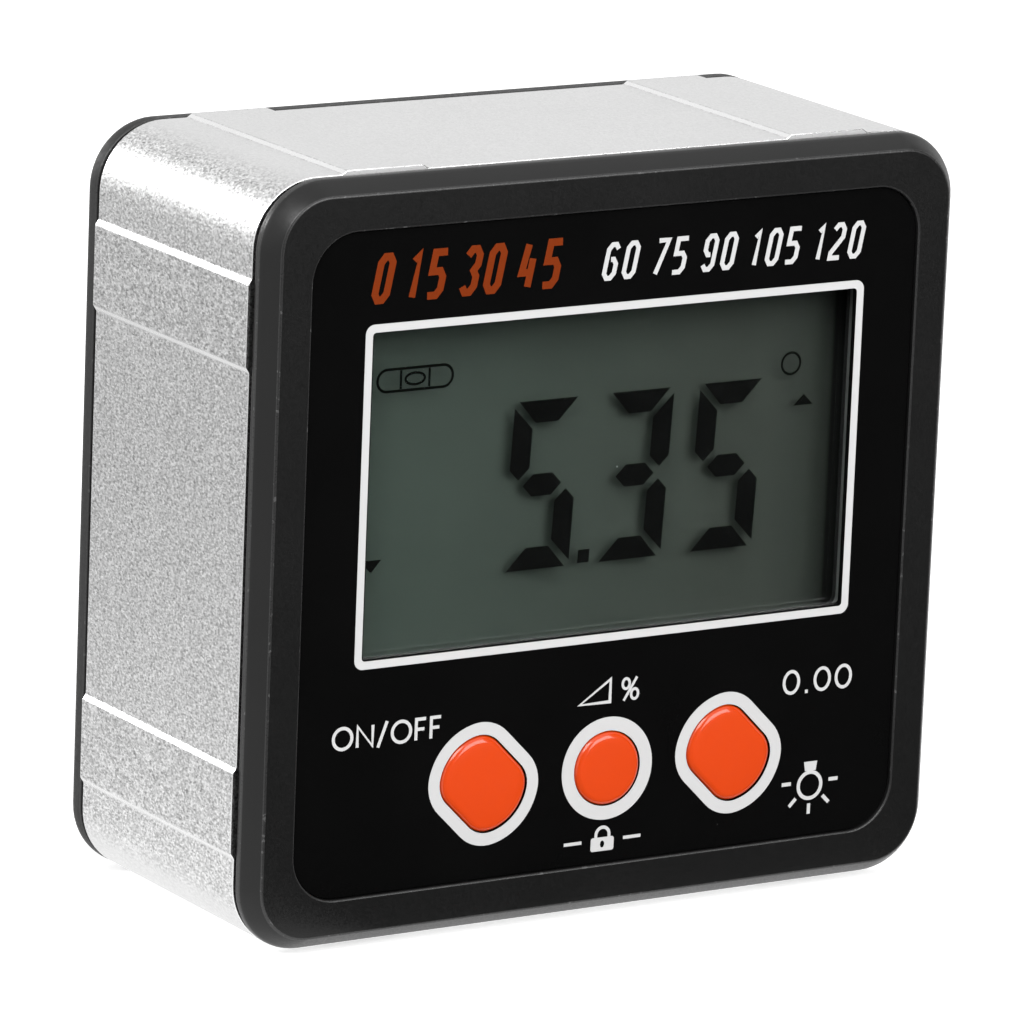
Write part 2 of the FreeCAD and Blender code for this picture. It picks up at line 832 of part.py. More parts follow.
def door_plate():
    """Return the door's outer plate, which carries on the rounded edge of the cover."""
    low_y = back_y - door_thickness
    block = box(-door_end, case_width, low_y, back_y,
                middle_z - door_half_height, middle_z + door_half_height)
    inner_corners = [edge for edge in edges_along(block, point(0, 1, 0)) if edge.Vertexes[0].Point.x < 0]
    block = block.makeFillet(door_corner, inner_corners)
    return block.common(cover_plate())


def door_hook(x, side):
    """Return one L-shaped hook under the door."""
    low, high = hook_span(side, 0)
    top = back_y - door_thickness
    foot_back = frame_back_y - hook_clearance
    foot_front = foot_back - hook_foot_thickness
    stem = box(x, x + hook_stem, foot_front, top, low, high)
    foot = box(x - hook_foot, x, foot_front, foot_back, low, high)
    return fused([stem, foot])


def battery_door():
    """Return the sliding door with its hooks, the ribs over the cells and the thumb grip."""
    parts = [door_plate()]
    parts += [door_hook(x, side) for x, side in hook_places()]
    for x in (-door_rib_offset, door_rib_offset):
        half = door_rib_thickness / 2
        top = back_y - door_thickness
        parts.append(box(x - half, x + half, cell_back_y + door_rib_gap, top,
                         middle_z - door_rib_half_length, middle_z + door_rib_half_length))
    door = fused(parts)
    for index in range(grip_count):
        x = grip_start + index * grip_pitch
        centre = point(x, back_y + grip_radius - grip_depth, middle_z - grip_half_length)
        door = door.cut(Part.makeCylinder(grip_radius, 2 * grip_half_length, centre))
    return door


def case_screws():
    """Return the four screws that draw the rear cover and the bezel together."""
    screws = []
    for x, z in four_ways(post_x, post_z):
        head = rod(case_screw_head_radius, x, z, screw_seat_y, screw_head_back_y)
        head = head.makeChamfer(case_screw_head_edge, edges_at(head, screw_head_back_y))
        shank = rod(case_screw_radius, x, z, screw_end_y, screw_seat_y)
        screws.append(fused([head, shank]))
    return screws


def write_node(name, shape):
    """Write one node: a single solid, or a group of separate solids."""
    body = Part.makeCompound(shape) if isinstance(shape, list) else shape
    body.exportStep("parts/" + name + ".step")


def main():
    os.makedirs("parts", exist_ok=True)
    nodes = {
        "housing_frame": housing_frame(),
        "base_magnets": base_magnets(),
        "front_bezel": front_bezel(),
        "front_overlay": front_overlay(),
        "display_window": display_window(),
        "display_holder": display_holder(),
        "display_glass": display_glass(),
        "display_backlight": display_backlight(),
        "zebra_strips": zebra_strips(),
        "circuit_board": circuit_board(),
        "board_screws": board_screws(),
        "controller_chip": board_component(controller_place),
        "tilt_sensor_chip": board_component(sensor_place),
        "crystal": crystal(),
        "chip_capacitors": chip_capacitors(),
        "switch_bodies": switch_bodies(),
        "battery_upper": battery(0),
        "battery_lower": battery(1),
        "bridge_contact": bridge_contact(),
        "positive_terminal": positive_terminal(),
        "negative_terminal": negative_terminal(),
        "rear_cover": rear_cover(),
        "battery_door": battery_door(),
        "case_screws": case_screws(),
    }
    for index, name in enumerate(("power", "hold", "zero")):
        nodes[name + "_button"] = button_cap(index)
        nodes[name + "_switch_plunger"] = switch_plunger(index)
    for name, shape in nodes.items():
        write_node(name, shape)


main()
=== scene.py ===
"""Looks of a digital inclinometer: the finishes, the printed panel, the display and the studio."""

import json
import logging
import math
from dataclasses import dataclass, field
from enum import Enum

import bmesh
import bpy
from mathutils import Matrix, Vector


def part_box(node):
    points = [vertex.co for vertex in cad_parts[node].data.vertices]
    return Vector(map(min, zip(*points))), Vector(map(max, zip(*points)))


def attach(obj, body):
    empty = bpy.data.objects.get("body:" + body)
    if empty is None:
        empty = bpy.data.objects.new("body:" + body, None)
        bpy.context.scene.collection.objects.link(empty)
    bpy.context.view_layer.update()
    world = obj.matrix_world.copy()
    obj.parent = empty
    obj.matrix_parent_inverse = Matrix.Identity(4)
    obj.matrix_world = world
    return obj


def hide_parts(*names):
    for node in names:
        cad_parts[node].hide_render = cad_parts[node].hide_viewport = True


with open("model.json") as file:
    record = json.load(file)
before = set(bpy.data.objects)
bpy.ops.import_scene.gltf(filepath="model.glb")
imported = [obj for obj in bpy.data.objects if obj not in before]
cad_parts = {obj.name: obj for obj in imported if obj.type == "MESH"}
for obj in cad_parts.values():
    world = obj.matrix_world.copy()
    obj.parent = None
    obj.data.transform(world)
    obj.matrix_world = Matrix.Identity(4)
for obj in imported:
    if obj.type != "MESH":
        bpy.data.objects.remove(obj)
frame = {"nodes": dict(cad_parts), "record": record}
log = logging.getLogger("inclinometer")

MM = 0.001
WHITE = (1.0, 1.0, 1.0, 1.0)
Colour = tuple[float, float, float, float]
Place = tuple[float, float]
Outline = list[Place]
Materials = dict[str, bpy.types.Material]

# Stations of the front panel, from the frame, in millimetres
FACE_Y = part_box("front_overlay")[0].y / MM
MIDDLE_Z = (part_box("front_overlay")[0].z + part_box("front_overlay")[1].z) / 2 / MM
CELL_FACE_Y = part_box("display_glass")[0].y / MM
CELL_BACK_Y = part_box("display_glass")[1].y / MM
PRINT_THICKNESS = 0.02
STAGGER = 0.002
MITRE_LIMIT = 0.62
UPRIGHT = (math.pi / 2, 0.0, 0.0)


def grey(value: float) -> Colour:
    """Return an opaque neutral colour."""
    return (value, value, value, 1.0)


def rgb(red: float, green: float, blue: float) -> Colour:
    """Return an opaque colour from linear red, green and blue."""
    return (red, green, blue, 1.0)


def centre_of(node: str) -> Place:
    """Return a node's centre on the panel: x, and height above the middle, in millimetres."""
    low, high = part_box(node)
    return ((low.x + high.x) / 2 / MM, (low.z + high.z) / 2 / MM - MIDDLE_Z)


class CapShape(Enum):
    """The two outlines that the push buttons have."""

    FLATTED = "flatted"
    ROUND = "round"


class Nodes:
    """A thin wrapper that adds and links the nodes of one tree."""

    def __init__(self, tree: bpy.types.NodeTree) -> None:
        """Keep the tree to work on.

        Args:
            tree: The shader or geometry node tree.
        """
        self.tree = tree

    def add(self, kind: str, inputs: dict | None = None, **settings: object) -> bpy.types.Node:
        """Add a node, set its options and feed its inputs.

        Args:
            kind: Blender's identifier of the node type.
            inputs: Values or sockets by the input's name or number.
            settings: Options of the node itself.

        Returns:
            The new node.
        """
        node = self.tree.nodes.new(kind)
        for name, value in settings.items():
            setattr(node, name, value)
        for key, value in (inputs or {}).items():
            if isinstance(value, bpy.types.NodeSocket):
                self.tree.links.new(value, node.inputs[key])
            else:
                node.inputs[key].default_value = value
        return node

    def link(self, source: bpy.types.NodeSocket, target: bpy.types.NodeSocket) -> None:
        """Join an output to an input."""
        self.tree.links.new(source, target)

    def maths(self, operation: str, first: object, second: object = 0.0) -> bpy.types.NodeSocket:
        """Return the result of a maths node on two values or sockets."""
        return self.add("ShaderNodeMath", {0: first, 1: second}, operation=operation).outputs[0]

    def blend(self, share: object, first: object, second: object) -> bpy.types.NodeSocket:
        """Return a mix of two colours by a share from 0 to 1."""
        inputs = {"Factor": share, "A": first, "B": second}
        return self.add("ShaderNodeMix", inputs, data_type="RGBA").outputs["Result"]

    def ramp(self, value: bpy.types.NodeSocket, low: float, high: float, start: float, end: float) -> object:
        """Return a value carried over from one range to another, held at both ends."""
        inputs = {"Value": value, "From Min": low, "From Max": high, "To Min": start, "To Max": end}
        return self.add("ShaderNodeMapRange", inputs).outputs[0]

    def scaled(self, colour: object, level: object) -> bpy.types.NodeSocket:
        """Return a colour made lighter or darker by a level."""
        return self.add("ShaderNodeVectorMath", {0: colour, 3: level}, operation="SCALE").outputs[0]

    def place(self) -> bpy.types.NodeSocket:
        """Return the object coordinates."""
        return self.add("ShaderNodeTexCoord").outputs["Object"]

    def axes(self) -> object:
        """Return the object coordinates as separate outputs."""
        return self.add("ShaderNodeSeparateXYZ", {0: self.place()}).outputs

    def show_instead(self, share: object, shader: bpy.types.Node, other: bpy.types.Node) -> None:
        """Show another shader in place of the first one where a share is 1."""
        output = next(node for node in self.tree.nodes if node.type == "OUTPUT_MATERIAL")
        shaders = {0: share, 1: shader.outputs[0], 2: other.outputs[0]}
        self.link(self.add("ShaderNodeMixShader", shaders).outputs[0], output.inputs["Surface"])

    def moved(self, mesh: object, shift: object) -> bpy.types.NodeSocket:
        """Return a mesh moved by a vector."""
        return self.add("GeometryNodeTransform", {"Geometry": mesh, "Translation": shift}).outputs[0]

    def instances(self, points: object, shape: object, turn: object = (0, 0, 0)) -> bpy.types.NodeSocket:
        """Return a shape set on every point, turned by a rotation."""
        inputs = {"Points": points, "Instance": shape, "Rotation": turn}
        return self.add("GeometryNodeInstanceOnPoints", inputs).outputs[0]


def new_group(name: str, inputs: dict[str, float], outputs: list[str]) -> tuple[Nodes, object, object]:
    """Make a shader node group with named number sockets.

    Args:
        name: The group's name.
        inputs: Default value by input name.
        outputs: Names of the outputs.

    Returns:
        The helper for its nodes, and its input and output nodes.
    """
    group = bpy.data.node_groups.new(name, "ShaderNodeTree")
    for label, value in inputs.items():
        group.interface.new_socket(label, in_out="INPUT", socket_type="NodeSocketFloat").default_value = value
    for label in outputs:
        group.interface.new_socket(label, in_out="OUTPUT", socket_type="NodeSocketFloat")
    nodes = Nodes(group)
    return nodes, nodes.add("NodeGroupInput"), nodes.add("NodeGroupOutput")


class Effects:
    """The shader groups that several finishes share."""

    def __init__(self) -> None:
        """Build every group once."""
        self.grain = self._grain()
        self.tone = self._tone()
        self.specks = self._specks()
        self.facets = self._facets()

    @staticmethod
    def _grain() -> bpy.types.NodeTree:
        """Return the group for a fine grain: two sizes of noise as one height and one value."""
        nodes, ends, out = new_group("surface_grain", {"Size": 0.0002, "Seed": 0.0}, ["Height", "Value"])
        scale = nodes.maths("DIVIDE", 1.0, ends.outputs["Size"])
        shift = {0: nodes.place(), 1: ends.outputs["Seed"]}
        place = nodes.add("ShaderNodeVectorMath", shift, operation="ADD").outputs[0]
        fine = nodes.add(
            "ShaderNodeTexNoise", {"Vector": place, "Scale": scale, "Detail": 2.0, "Roughness": 0.6}
        )
        wide = {"Vector": place, "Scale": nodes.maths("MULTIPLY", scale, 0.23), "Detail": 1.0}
        coarse = nodes.add("ShaderNodeTexNoise", wide)
        height = nodes.add("ShaderNodeMath", {0: coarse.outputs[0], 1: 0.35}, operation="MULTIPLY_ADD")
        nodes.link(fine.outputs[0], height.inputs[2])
        nodes.link(height.outputs[0], out.inputs["Height"])
        nodes.link(fine.outputs[0], out.inputs["Value"])
        return nodes.tree

    @staticmethod
    def _tone() -> bpy.types.NodeTree:
        """Return the group for slow changes of tone over a surface, from 0 to 1."""
        nodes, ends, out = new_group("slow_tone", {"Size": 0.01, "Contrast": 1.0}, ["Value"])
        scale = nodes.maths("DIVIDE", 1.0, ends.outputs["Size"])
        noise = nodes.add("ShaderNodeTexNoise", {"Vector": nodes.place(), "Scale": scale, "Detail": 3.0})
        centred = nodes.maths("SUBTRACT", noise.outputs[0], 0.5)
        value = nodes.maths("ADD", nodes.maths("MULTIPLY", centred, ends.outputs["Contrast"]), 0.5)
        value.node.use_clamp = True
        nodes.link(value, out.inputs["Value"])
        return nodes.tree

    @staticmethod
    def _specks() -> bpy.types.NodeTree:
        """Return the group for sparse dust: a mask of small round specks."""
        inputs = {"Spacing": 0.002, "Radius": 0.05, "Share": 0.1}
        nodes, ends, out = new_group("dust_specks", inputs, ["Mask"])
        scale = nodes.maths("DIVIDE", 1.0, ends.outputs["Spacing"])
        cells = nodes.add("ShaderNodeTexVoronoi", {"Vector": nodes.place(), "Scale": scale})
        near = nodes.maths("LESS_THAN", cells.outputs["Distance"], ends.outputs["Radius"])
        chosen = nodes.add("ShaderNodeSeparateColor", {0: cells.outputs["Color"]})
        kept = nodes.maths("LESS_THAN", chosen.outputs[0], ends.outputs["Share"])
        nodes.link(nodes.maths("MULTIPLY", near, kept), out.inputs["Mask"])
        return nodes.tree

    @staticmethod
    def _facets() -> bpy.types.NodeTree:
        """Return the group for blasted facets, a value from 0 to 1 each, drawn out along the extrusion."""
        nodes, ends, out = new_group("blasted_facets", {"Size": 0.0002}, ["Value"])
        scale = nodes.maths("DIVIDE", 1.0, ends.outputs["Size"])
        drawn = nodes.add("ShaderNodeMapping", {"Vector": nodes.place(), "Scale": (1.0, 0.6, 1.0)})
        cells = nodes.add("ShaderNodeTexVoronoi", {"Vector": drawn.outputs[0], "Scale": scale})
        random = nodes.add("ShaderNodeSeparateColor", {0: cells.outputs["Color"]})
        cloud = {"Vector": drawn.outputs[0], "Scale": nodes.maths("MULTIPLY", scale, 0.6), "Detail": 2.0}
        noise = nodes.add("ShaderNodeTexNoise", cloud)
        spread = nodes.ramp(noise.outputs[0], 0.3, 0.7, 0.0, 1.0)
        half = nodes.maths("MULTIPLY", nodes.maths("ADD", random.outputs[0], spread), 0.5)
        nodes.link(half, out.inputs["Value"])
        return nodes.tree

    def use(self, nodes: Nodes, group: bpy.types.NodeTree, **values: float) -> bpy.types.Node:
        """Place a group in a material with its own values.

        Args:
            nodes: The material's nodes.
            group: The group to place.
            values: Input values by name.

        Returns:
            The group node.
        """
        return nodes.add("ShaderNodeGroup", values, node_tree=group)

    def roughen(
        self, nodes: Nodes, shader: bpy.types.Node, size: float, middle: float, spread: float, depth: float
    ) -> None:
        """Give a surface its fine grain, as a range of roughness and a slight relief.

        Args:
            nodes: The material's nodes.
            shader: The Principled node.
            size: Size of the grain, in metres.
            middle: The middle of the roughness range.
            spread: How far the roughness goes to either side.
            depth: Depth of the relief, in metres.
        """
        grain = self.use(nodes, self.grain, Size=size)
        value = nodes.ramp(grain.outputs["Value"], 0.3, 0.7, middle - spread, middle + spread)
        nodes.link(value, shader.inputs["Roughness"])
        relief = {"Height": grain.outputs["Height"], "Distance": depth, "Strength": 1.0}
        nodes.link(nodes.add("ShaderNodeBump", relief).outputs[0], shader.inputs["Normal"])

    def shade(
        self, nodes: Nodes, colour: object, size: float, contrast: float, low: float, high: float
    ) -> bpy.types.NodeSocket:
        """Return a colour with slow changes of tone.

        Args:
            nodes: The material's nodes.
            colour: The colour or its socket.
            size: Size of the changes, in metres.
            contrast: How strong the pattern behind them is.
            low: The darkest level.
            high: The lightest level.

        Returns:
            The shaded colour.
        """
        tone = self.use(nodes, self.tone, Size=size, Contrast=contrast)
        return nodes.scaled(colour, nodes.ramp(tone.outputs[0], 0.0, 1.0, low, high))


def new_material(name: str, base: Colour) -> tuple[bpy.types.Material, Nodes, bpy.types.Node]:
    """Make a node material with an empty tree but for its Principled shader.

    Args:
        name: The material's name.
        base: The viewport and base colour.

    Returns:
        The material, the helper for its nodes and the Principled node.
    """
    material = bpy.data.materials.new(name)
    material.use_nodes = True
    material.diffuse_color = base
    material.node_tree.nodes.clear()
    nodes = Nodes(material.node_tree)
    shader = nodes.add("ShaderNodeBsdfPrincipled", {"Base Color": base})
    output = nodes.add("ShaderNodeOutputMaterial")
    nodes.link(shader.outputs[0], output.inputs["Surface"])
    return material, nodes, shader


@dataclass(frozen=True)
class Finish:
    """A moulded, painted or metal surface with grain, slow changes of tone and a roughness range."""

    name: str
    base: Colour
    second: Colour
    roughness: float
    roughness_spread: float = 0.06
    metallic: float = 0.0
    specular: float = 0.5
    coat: float = 0.0
    coat_roughness: float = 0.05
    grain_size: float = 0.0002
    grain_depth: float = 0.000003
    tone_size: float = 0.008
    tone_contrast: float = 1.4
    dust: float = 0.0
    dust_colour: Colour = grey(0.35)
    dust_spacing: float = 0.0016
    dust_radius: float = 0.03
    # Wear patches; on the black edges they are partly painted glints.
    wear_and_glints: float = 0.0
    wear_and_glint_colour: Colour = grey(0.08)
    wear_and_glint_size: float = 0.0005

    def make(self, effects: Effects) -> bpy.types.Material:
        """Build the material.

        Args:
            effects: The shared shader groups.

        Returns:
            The finished material.
        """
        material, nodes, shader = new_material(self.name, self.base)
        tone = effects.use(nodes, effects.tone, Size=self.tone_size, Contrast=self.tone_contrast)
        colour = nodes.blend(tone.outputs[0], self.base, self.second)
        if self.dust > 0.0:
            size = {"Spacing": self.dust_spacing, "Radius": self.dust_radius}
            specks = effects.use(nodes, effects.specks, Share=self.dust, **size)
            colour = nodes.blend(specks.outputs[0], colour, self.dust_colour)
        # Wear patches, which on the black edges also stand in for painted glints.
        if self.wear_and_glints > 0.0:
            patches = effects.use(nodes, effects.tone, Size=self.wear_and_glint_size, Contrast=2.5)
            worn_and_painted_sheen = nodes.ramp(patches.outputs[0], 1.0 - self.wear_and_glints, 1.08 - self.wear_and_glints, 0.0, 1.0)
            colour = nodes.blend(worn_and_painted_sheen, colour, self.wear_and_glint_colour)
        nodes.link(colour, shader.inputs["Base Color"])
        effects.roughen(nodes, shader, self.grain_size, self.roughness, self.roughness_spread,
                        self.grain_depth)
        constants = {"Metallic": self.metallic, "Specular IOR Level": self.specular,
                     "Coat Weight": self.coat, "Coat Roughness": self.coat_roughness}
        for label, value in constants.items():
            shader.inputs[label].default_value = value
        return material


@dataclass(frozen=True)
class BlastedFinish:
    """Bead-blasted aluminium in tiny facets whose light and dark colours are partly painted glints, with a
    painted even sheen in place of the facets on top and at the foot, and sawn rib ends.
    """

    name: str = "anodised_aluminium"
    dark: Colour = grey(0.21)
    light: Colour = grey(1.0)
    # Painted sheen: the even colour that faces pointing up or down take in place of the facets.
    worn_and_painted_sheen: Colour = grey(0.72)
    roughness: float = 0.34
    roughness_spread: float = 0.08
    facet_size: float = 0.00013
    grain_size: float = 0.00016
    grain_depth: float = 0.000015
    level_normals: Place = (0.82, 0.99)
    falling_normals: Place = (0.05, 0.45)
    sawn: Colour = grey(0.80)
    sawn_height: float = 0.0594

    def make(self, effects: Effects) -> bpy.types.Material:
        """Build the material, with the facets in its colour as grain and painted glints, in its roughness and
        in its relief.
        """
        material, nodes, shader = new_material(self.name, self.worn_and_painted_sheen)
        facets = effects.use(nodes, effects.facets, Size=self.facet_size)
        # Blasted grain whose light and dark facets are partly painted glints.
        sparkle = nodes.blend(facets.outputs[0], self.dark, self.light)
        facing = nodes.add("ShaderNodeSeparateXYZ", {0: nodes.add("ShaderNodeNewGeometry").outputs["Normal"]})
        # Painted sheen: faces that point up, down or towards the floor get one even, lighter colour instead
        # of the facets, because of how light falls on them.
        level = nodes.ramp(nodes.maths("ABSOLUTE", facing.outputs["Z"]), *self.level_normals, 0.0, 0.85)
        down = nodes.maths("MULTIPLY", facing.outputs["Z"], -1.0)
        falling = nodes.ramp(down, *self.falling_normals, 0.0, 0.8)
        worn_and_painted_sheen = nodes.blend(nodes.maths("MAXIMUM", level, falling), sparkle, self.worn_and_painted_sheen)
        above_bezel = nodes.maths("GREATER_THAN", nodes.axes()["Z"], self.sawn_height)
        rib_end = nodes.maths("MULTIPLY", above_bezel, nodes.maths("LESS_THAN", facing.outputs["Y"], -0.9))
        mixed = nodes.blend(rib_end, worn_and_painted_sheen, self.sawn)
        nodes.link(effects.shade(nodes, mixed, 0.012, 1.2, 0.95, 1.0), shader.inputs["Base Color"])
        effects.roughen(nodes, shader, self.grain_size, self.roughness, self.roughness_spread,
                        self.grain_depth)
        nodes.link(nodes.ramp(rib_end, 0.0, 1.0, 1.0, 0.3), shader.inputs["Metallic"])
        return material


@dataclass(frozen=True)
class ClearFinish:
    """Clear acrylic or glass that lets light through to the display."""

    name: str
    tint: Colour = rgb(0.94, 0.96, 0.95)
    index: float = 1.49
    specular: float = 0.15

    def make(self, effects: Effects) -> bpy.types.Material:
        """Build the material, with plain transparency for shadow rays and a faint haze of wear."""
        material, nodes, shader = new_material(self.name, self.tint)
        shader.inputs["Transmission Weight"].default_value = 1.0
        shader.inputs["IOR"].default_value = self.index
        shader.inputs["Specular IOR Level"].default_value = self.specular
        haze = effects.use(nodes, effects.tone, Size=0.006, Contrast=1.0)
        nodes.link(nodes.ramp(haze.outputs[0], 0.0, 1.0, 0.0, 0.02), shader.inputs["Roughness"])
        ray = nodes.add("ShaderNodeLightPath")
        clear = nodes.add("ShaderNodeBsdfTransparent", {"Color": self.tint})
        nodes.show_instead(ray.outputs["Is Shadow Ray"], shader, clear)
        return material


@dataclass(frozen=True)
class PolariserFinish:
    """The grey film behind the crystal: lighter and bluer at the left as a painted reflection, darker further
    right under a painted shadow of the opening's wall, and a near-black band at its right end.
    """

    name: str = "display_cell"
    # Painted light: the left colour is lighter and bluer as a painted reflection, the right one darker.
    left: Colour = rgb(0.060, 0.075, 0.067)
    right: Colour = rgb(0.050, 0.055, 0.050)
    left_x: float = -0.020
    right_x: float = 0.012
    right_dark_band: Colour = grey(0.012)
    right_dark_band_x: float = 0.0217
    right_dark_band_fade: float = 0.0003
    # Painted shadow of the opening's wall: where it begins and the level it falls to at the band.
    shaded_x: float = 0.0160
    shaded: float = 0.66
    dust_colour: Colour = grey(0.30)

    def make(self, effects: Effects) -> bpy.types.Material:
        """Build the material from the distance across the display."""
        material, nodes, shader = new_material(self.name, self.right)
        x = nodes.axes()["X"]
        # Painted reflection: lighter and bluer to the left, darker to the right.
        film = nodes.blend(nodes.ramp(x, self.left_x, self.right_x, 0.0, 1.0), self.left, self.right)
        # Painted shadow of the opening's wall, darkening towards the right end.
        dimmed = nodes.scaled(film, nodes.ramp(x, self.shaded_x, self.right_dark_band_x, 1.0, self.shaded))
        toned = effects.shade(nodes, dimmed, 0.009, 1.3, 0.92, 1.06)
        specks = effects.use(nodes, effects.specks, Spacing=0.0022, Radius=0.035, Share=0.12)
        dusty = nodes.blend(specks.outputs[0], toned, self.dust_colour)
        # A near-black band at the right end.
        in_right_dark_band = nodes.ramp(x, self.right_dark_band_x, self.right_dark_band_x + self.right_dark_band_fade, 0.0, 1.0)
        nodes.link(nodes.blend(in_right_dark_band, dusty, self.right_dark_band), shader.inputs["Base Color"])
        effects.roughen(nodes, shader, 0.0003, 0.55, 0.05, 0.000002)
        shader.inputs["Specular IOR Level"].default_value = 0.05
        return material


@dataclass(frozen=True)
class BoardFinish:
    """Green solder mask over copper traces, with small plated holes."""

    name: str = "board_green"
    mask: Colour = rgb(0.015, 0.13, 0.05)
    over_copper: Colour = rgb(0.03, 0.22, 0.08)
    plated: Colour = rgb(0.62, 0.60, 0.52)
    trace_pitch: float = 0.0016
    hole_pitch: float = 0.0042

    def make(self, effects: Effects) -> bpy.types.Material:
        """Build the material: traces as a brick pattern, plated holes as sparse dots."""
        material, nodes, shader = new_material(self.name, self.mask)
        turn = nodes.add("ShaderNodeMapping", {"Vector": nodes.place(), "Rotation": (math.pi / 2, 0.0, 0.0)})
        bricks = {
            "Vector": turn.outputs[0],
            "Scale": 1.0,
            "Mortar Size": 0.0002,
            "Brick Width": self.trace_pitch * 4,
            "Row Height": self.trace_pitch,
            "Color1": self.mask,
            "Color2": self.mask,
            "Mortar": self.over_copper,
        }
        traces = nodes.add("ShaderNodeTexBrick", bricks)
        holes = effects.use(nodes, effects.specks, Spacing=self.hole_pitch, Radius=0.12, Share=0.35)
        colour = nodes.blend(holes.outputs[0], traces.outputs["Color"], self.plated)
        nodes.link(colour, shader.inputs["Base Color"])
        nodes.link(nodes.ramp(holes.outputs[0], 0.0, 1.0, 0.0, 1.0), shader.inputs["Metallic"])
        grain = effects.use(nodes, effects.grain, Size=0.0004)
        nodes.link(nodes.ramp(grain.outputs["Value"], 0.3, 0.7, 0.25, 0.38), shader.inputs["Roughness"])
        relief = {"Height": traces.outputs["Fac"], "Distance": 0.00003, "Strength": 0.6}
        nodes.link(nodes.add("ShaderNodeBump", relief).outputs[0], shader.inputs["Normal"])
        return material


@dataclass(frozen=True)
class CellFinish:
    """A cell's printed shrink jacket, with a coloured band at its positive end and bare steel ends."""

    name: str
    positive_side: int
    half_length: float = 0.0214
    jacket: Colour = rgb(0.035, 0.037, 0.042)
    band: Colour = rgb(0.55, 0.24, 0.06)
    steel: Colour = grey(0.6)
    band_start: float = 0.0125

    def make(self, effects: Effects) -> bpy.types.Material:
        """Build the material from the distance along the cell."""
        material, nodes, shader = new_material(self.name, self.jacket)
        x = nodes.axes()["X"]
        along = nodes.maths("MULTIPLY", x, float(self.positive_side))
        in_band = nodes.maths("GREATER_THAN", along, self.band_start)
        bare = nodes.maths("GREATER_THAN", nodes.maths("ABSOLUTE", x), self.half_length)
        printed = effects.shade(nodes, nodes.blend(in_band, self.jacket, self.band), 0.01, 1.0, 0.85, 1.0)
        nodes.link(nodes.blend(bare, printed, self.steel), shader.inputs["Base Color"])
        nodes.link(bare, shader.inputs["Metallic"])
        effects.roughen(nodes, shader, 0.0005, 0.28, 0.06, 0.000004)
        return material


def make_finishes(effects: Effects) -> Materials:
    """Build every material of the object.

    Args:
        effects: The shared shader groups.

    Returns:
        The materials by name.
    """
    finishes = [
        BlastedFinish(),
        Finish("milled_aluminium", grey(0.89), grey(0.80), 0.24, metallic=1.0, grain_depth=0.000002),
        Finish("magnet_nickel", rgb(0.70, 0.69, 0.66), rgb(0.60, 0.59, 0.56), 0.2, 0.08, metallic=1.0),
        Finish("black_case", grey(0.0064), grey(0.0088), 0.36, 0.08, specular=0.36,
               grain_size=0.00014, grain_depth=0.000004),
        # Paler edges: partly wear, partly a painted highlight, with broken painted glints along them.
        Finish("black_case_edge", grey(0.022), grey(0.032), 0.32, 0.08, specular=0.5,
               grain_size=0.00014, grain_depth=0.000003, wear_and_glints=0.12),
        Finish("black_case_texture", grey(0.0105), grey(0.0135), 0.52, 0.10, specular=0.33,
               grain_size=0.00028, grain_depth=0.000014),
        Finish("overlay_print", grey(0.0026), grey(0.0036), 0.09, 0.03, specular=0.09,
               grain_size=0.0006, grain_depth=0.0000006, dust=0.035, dust_colour=grey(0.05)),
        Finish("print_white", grey(0.60), grey(0.57), 0.42, specular=0.12),
        Finish("print_orange", rgb(0.205, 0.030, 0.004), rgb(0.175, 0.025, 0.003), 0.42, specular=0.05),
        ClearFinish("clear_window"),
        ClearFinish("cell_glass", rgb(0.965, 0.98, 0.965), 1.25, 0.05),
        PolariserFinish(),
        Finish("segment_black", grey(0.0055), grey(0.0065), 0.6, specular=0.0),
        Finish("diffuser_white", rgb(0.75, 0.77, 0.75), rgb(0.68, 0.71, 0.69), 0.4),
        Finish("holder_black", grey(0.012), grey(0.016), 0.6, specular=0.25, grain_depth=0.000006),
        # Painted highlight: a pale copy of the black plastic, for the lit wall of the display opening.
        Finish("opening_wall", grey(0.14), grey(0.11), 0.5, specular=0.25, grain_depth=0.000004),
        Finish("connector_rubber", grey(0.10), rgb(0.14, 0.13, 0.12), 0.8, specular=0.3,
               tone_size=0.0004, tone_contrast=3.0),
        BoardFinish(),
        Finish("screw_steel", grey(0.50), grey(0.40), 0.3, 0.08, metallic=1.0, grain_size=0.00012),
        Finish("chip_black", grey(0.016), grey(0.022), 0.55, grain_depth=0.000008),
        Finish("solder_tin", grey(0.62), grey(0.52), 0.3, metallic=1.0),
        Finish("crystal_can", grey(0.66), grey(0.58), 0.24, 0.08, metallic=1.0, grain_size=0.0004),
        Finish("capacitor_tan", rgb(0.42, 0.29, 0.17), rgb(0.36, 0.24, 0.14), 0.5),
        Finish("switch_case", grey(0.02), grey(0.03), 0.5, grain_depth=0.000006),
        Finish("plunger_white", rgb(0.70, 0.70, 0.66), rgb(0.64, 0.64, 0.60), 0.45),
        Finish("button_orange", rgb(0.715, 0.056, 0.0008), rgb(0.695, 0.053, 0.0008), 0.34, 0.02,
               specular=0.22, coat=1.0, coat_roughness=0.10, grain_size=0.0008, grain_depth=0.0000001),
        CellFinish("cell_jacket_upper", 1),
        CellFinish("cell_jacket_lower", -1),
        Finish("contact_nickel", rgb(0.68, 0.66, 0.60), rgb(0.58, 0.56, 0.50), 0.26, 0.08, metallic=1.0),
    ]
    return {finish.name: finish.make(effects) for finish in finishes}


def link(name: str, mesh: bpy.types.Mesh) -> bpy.types.Object:
    """Put a mesh in the scene as an object at the origin."""
    piece = bpy.data.objects.new(name, mesh)
    bpy.context.scene.collection.objects.link(piece)
    return piece


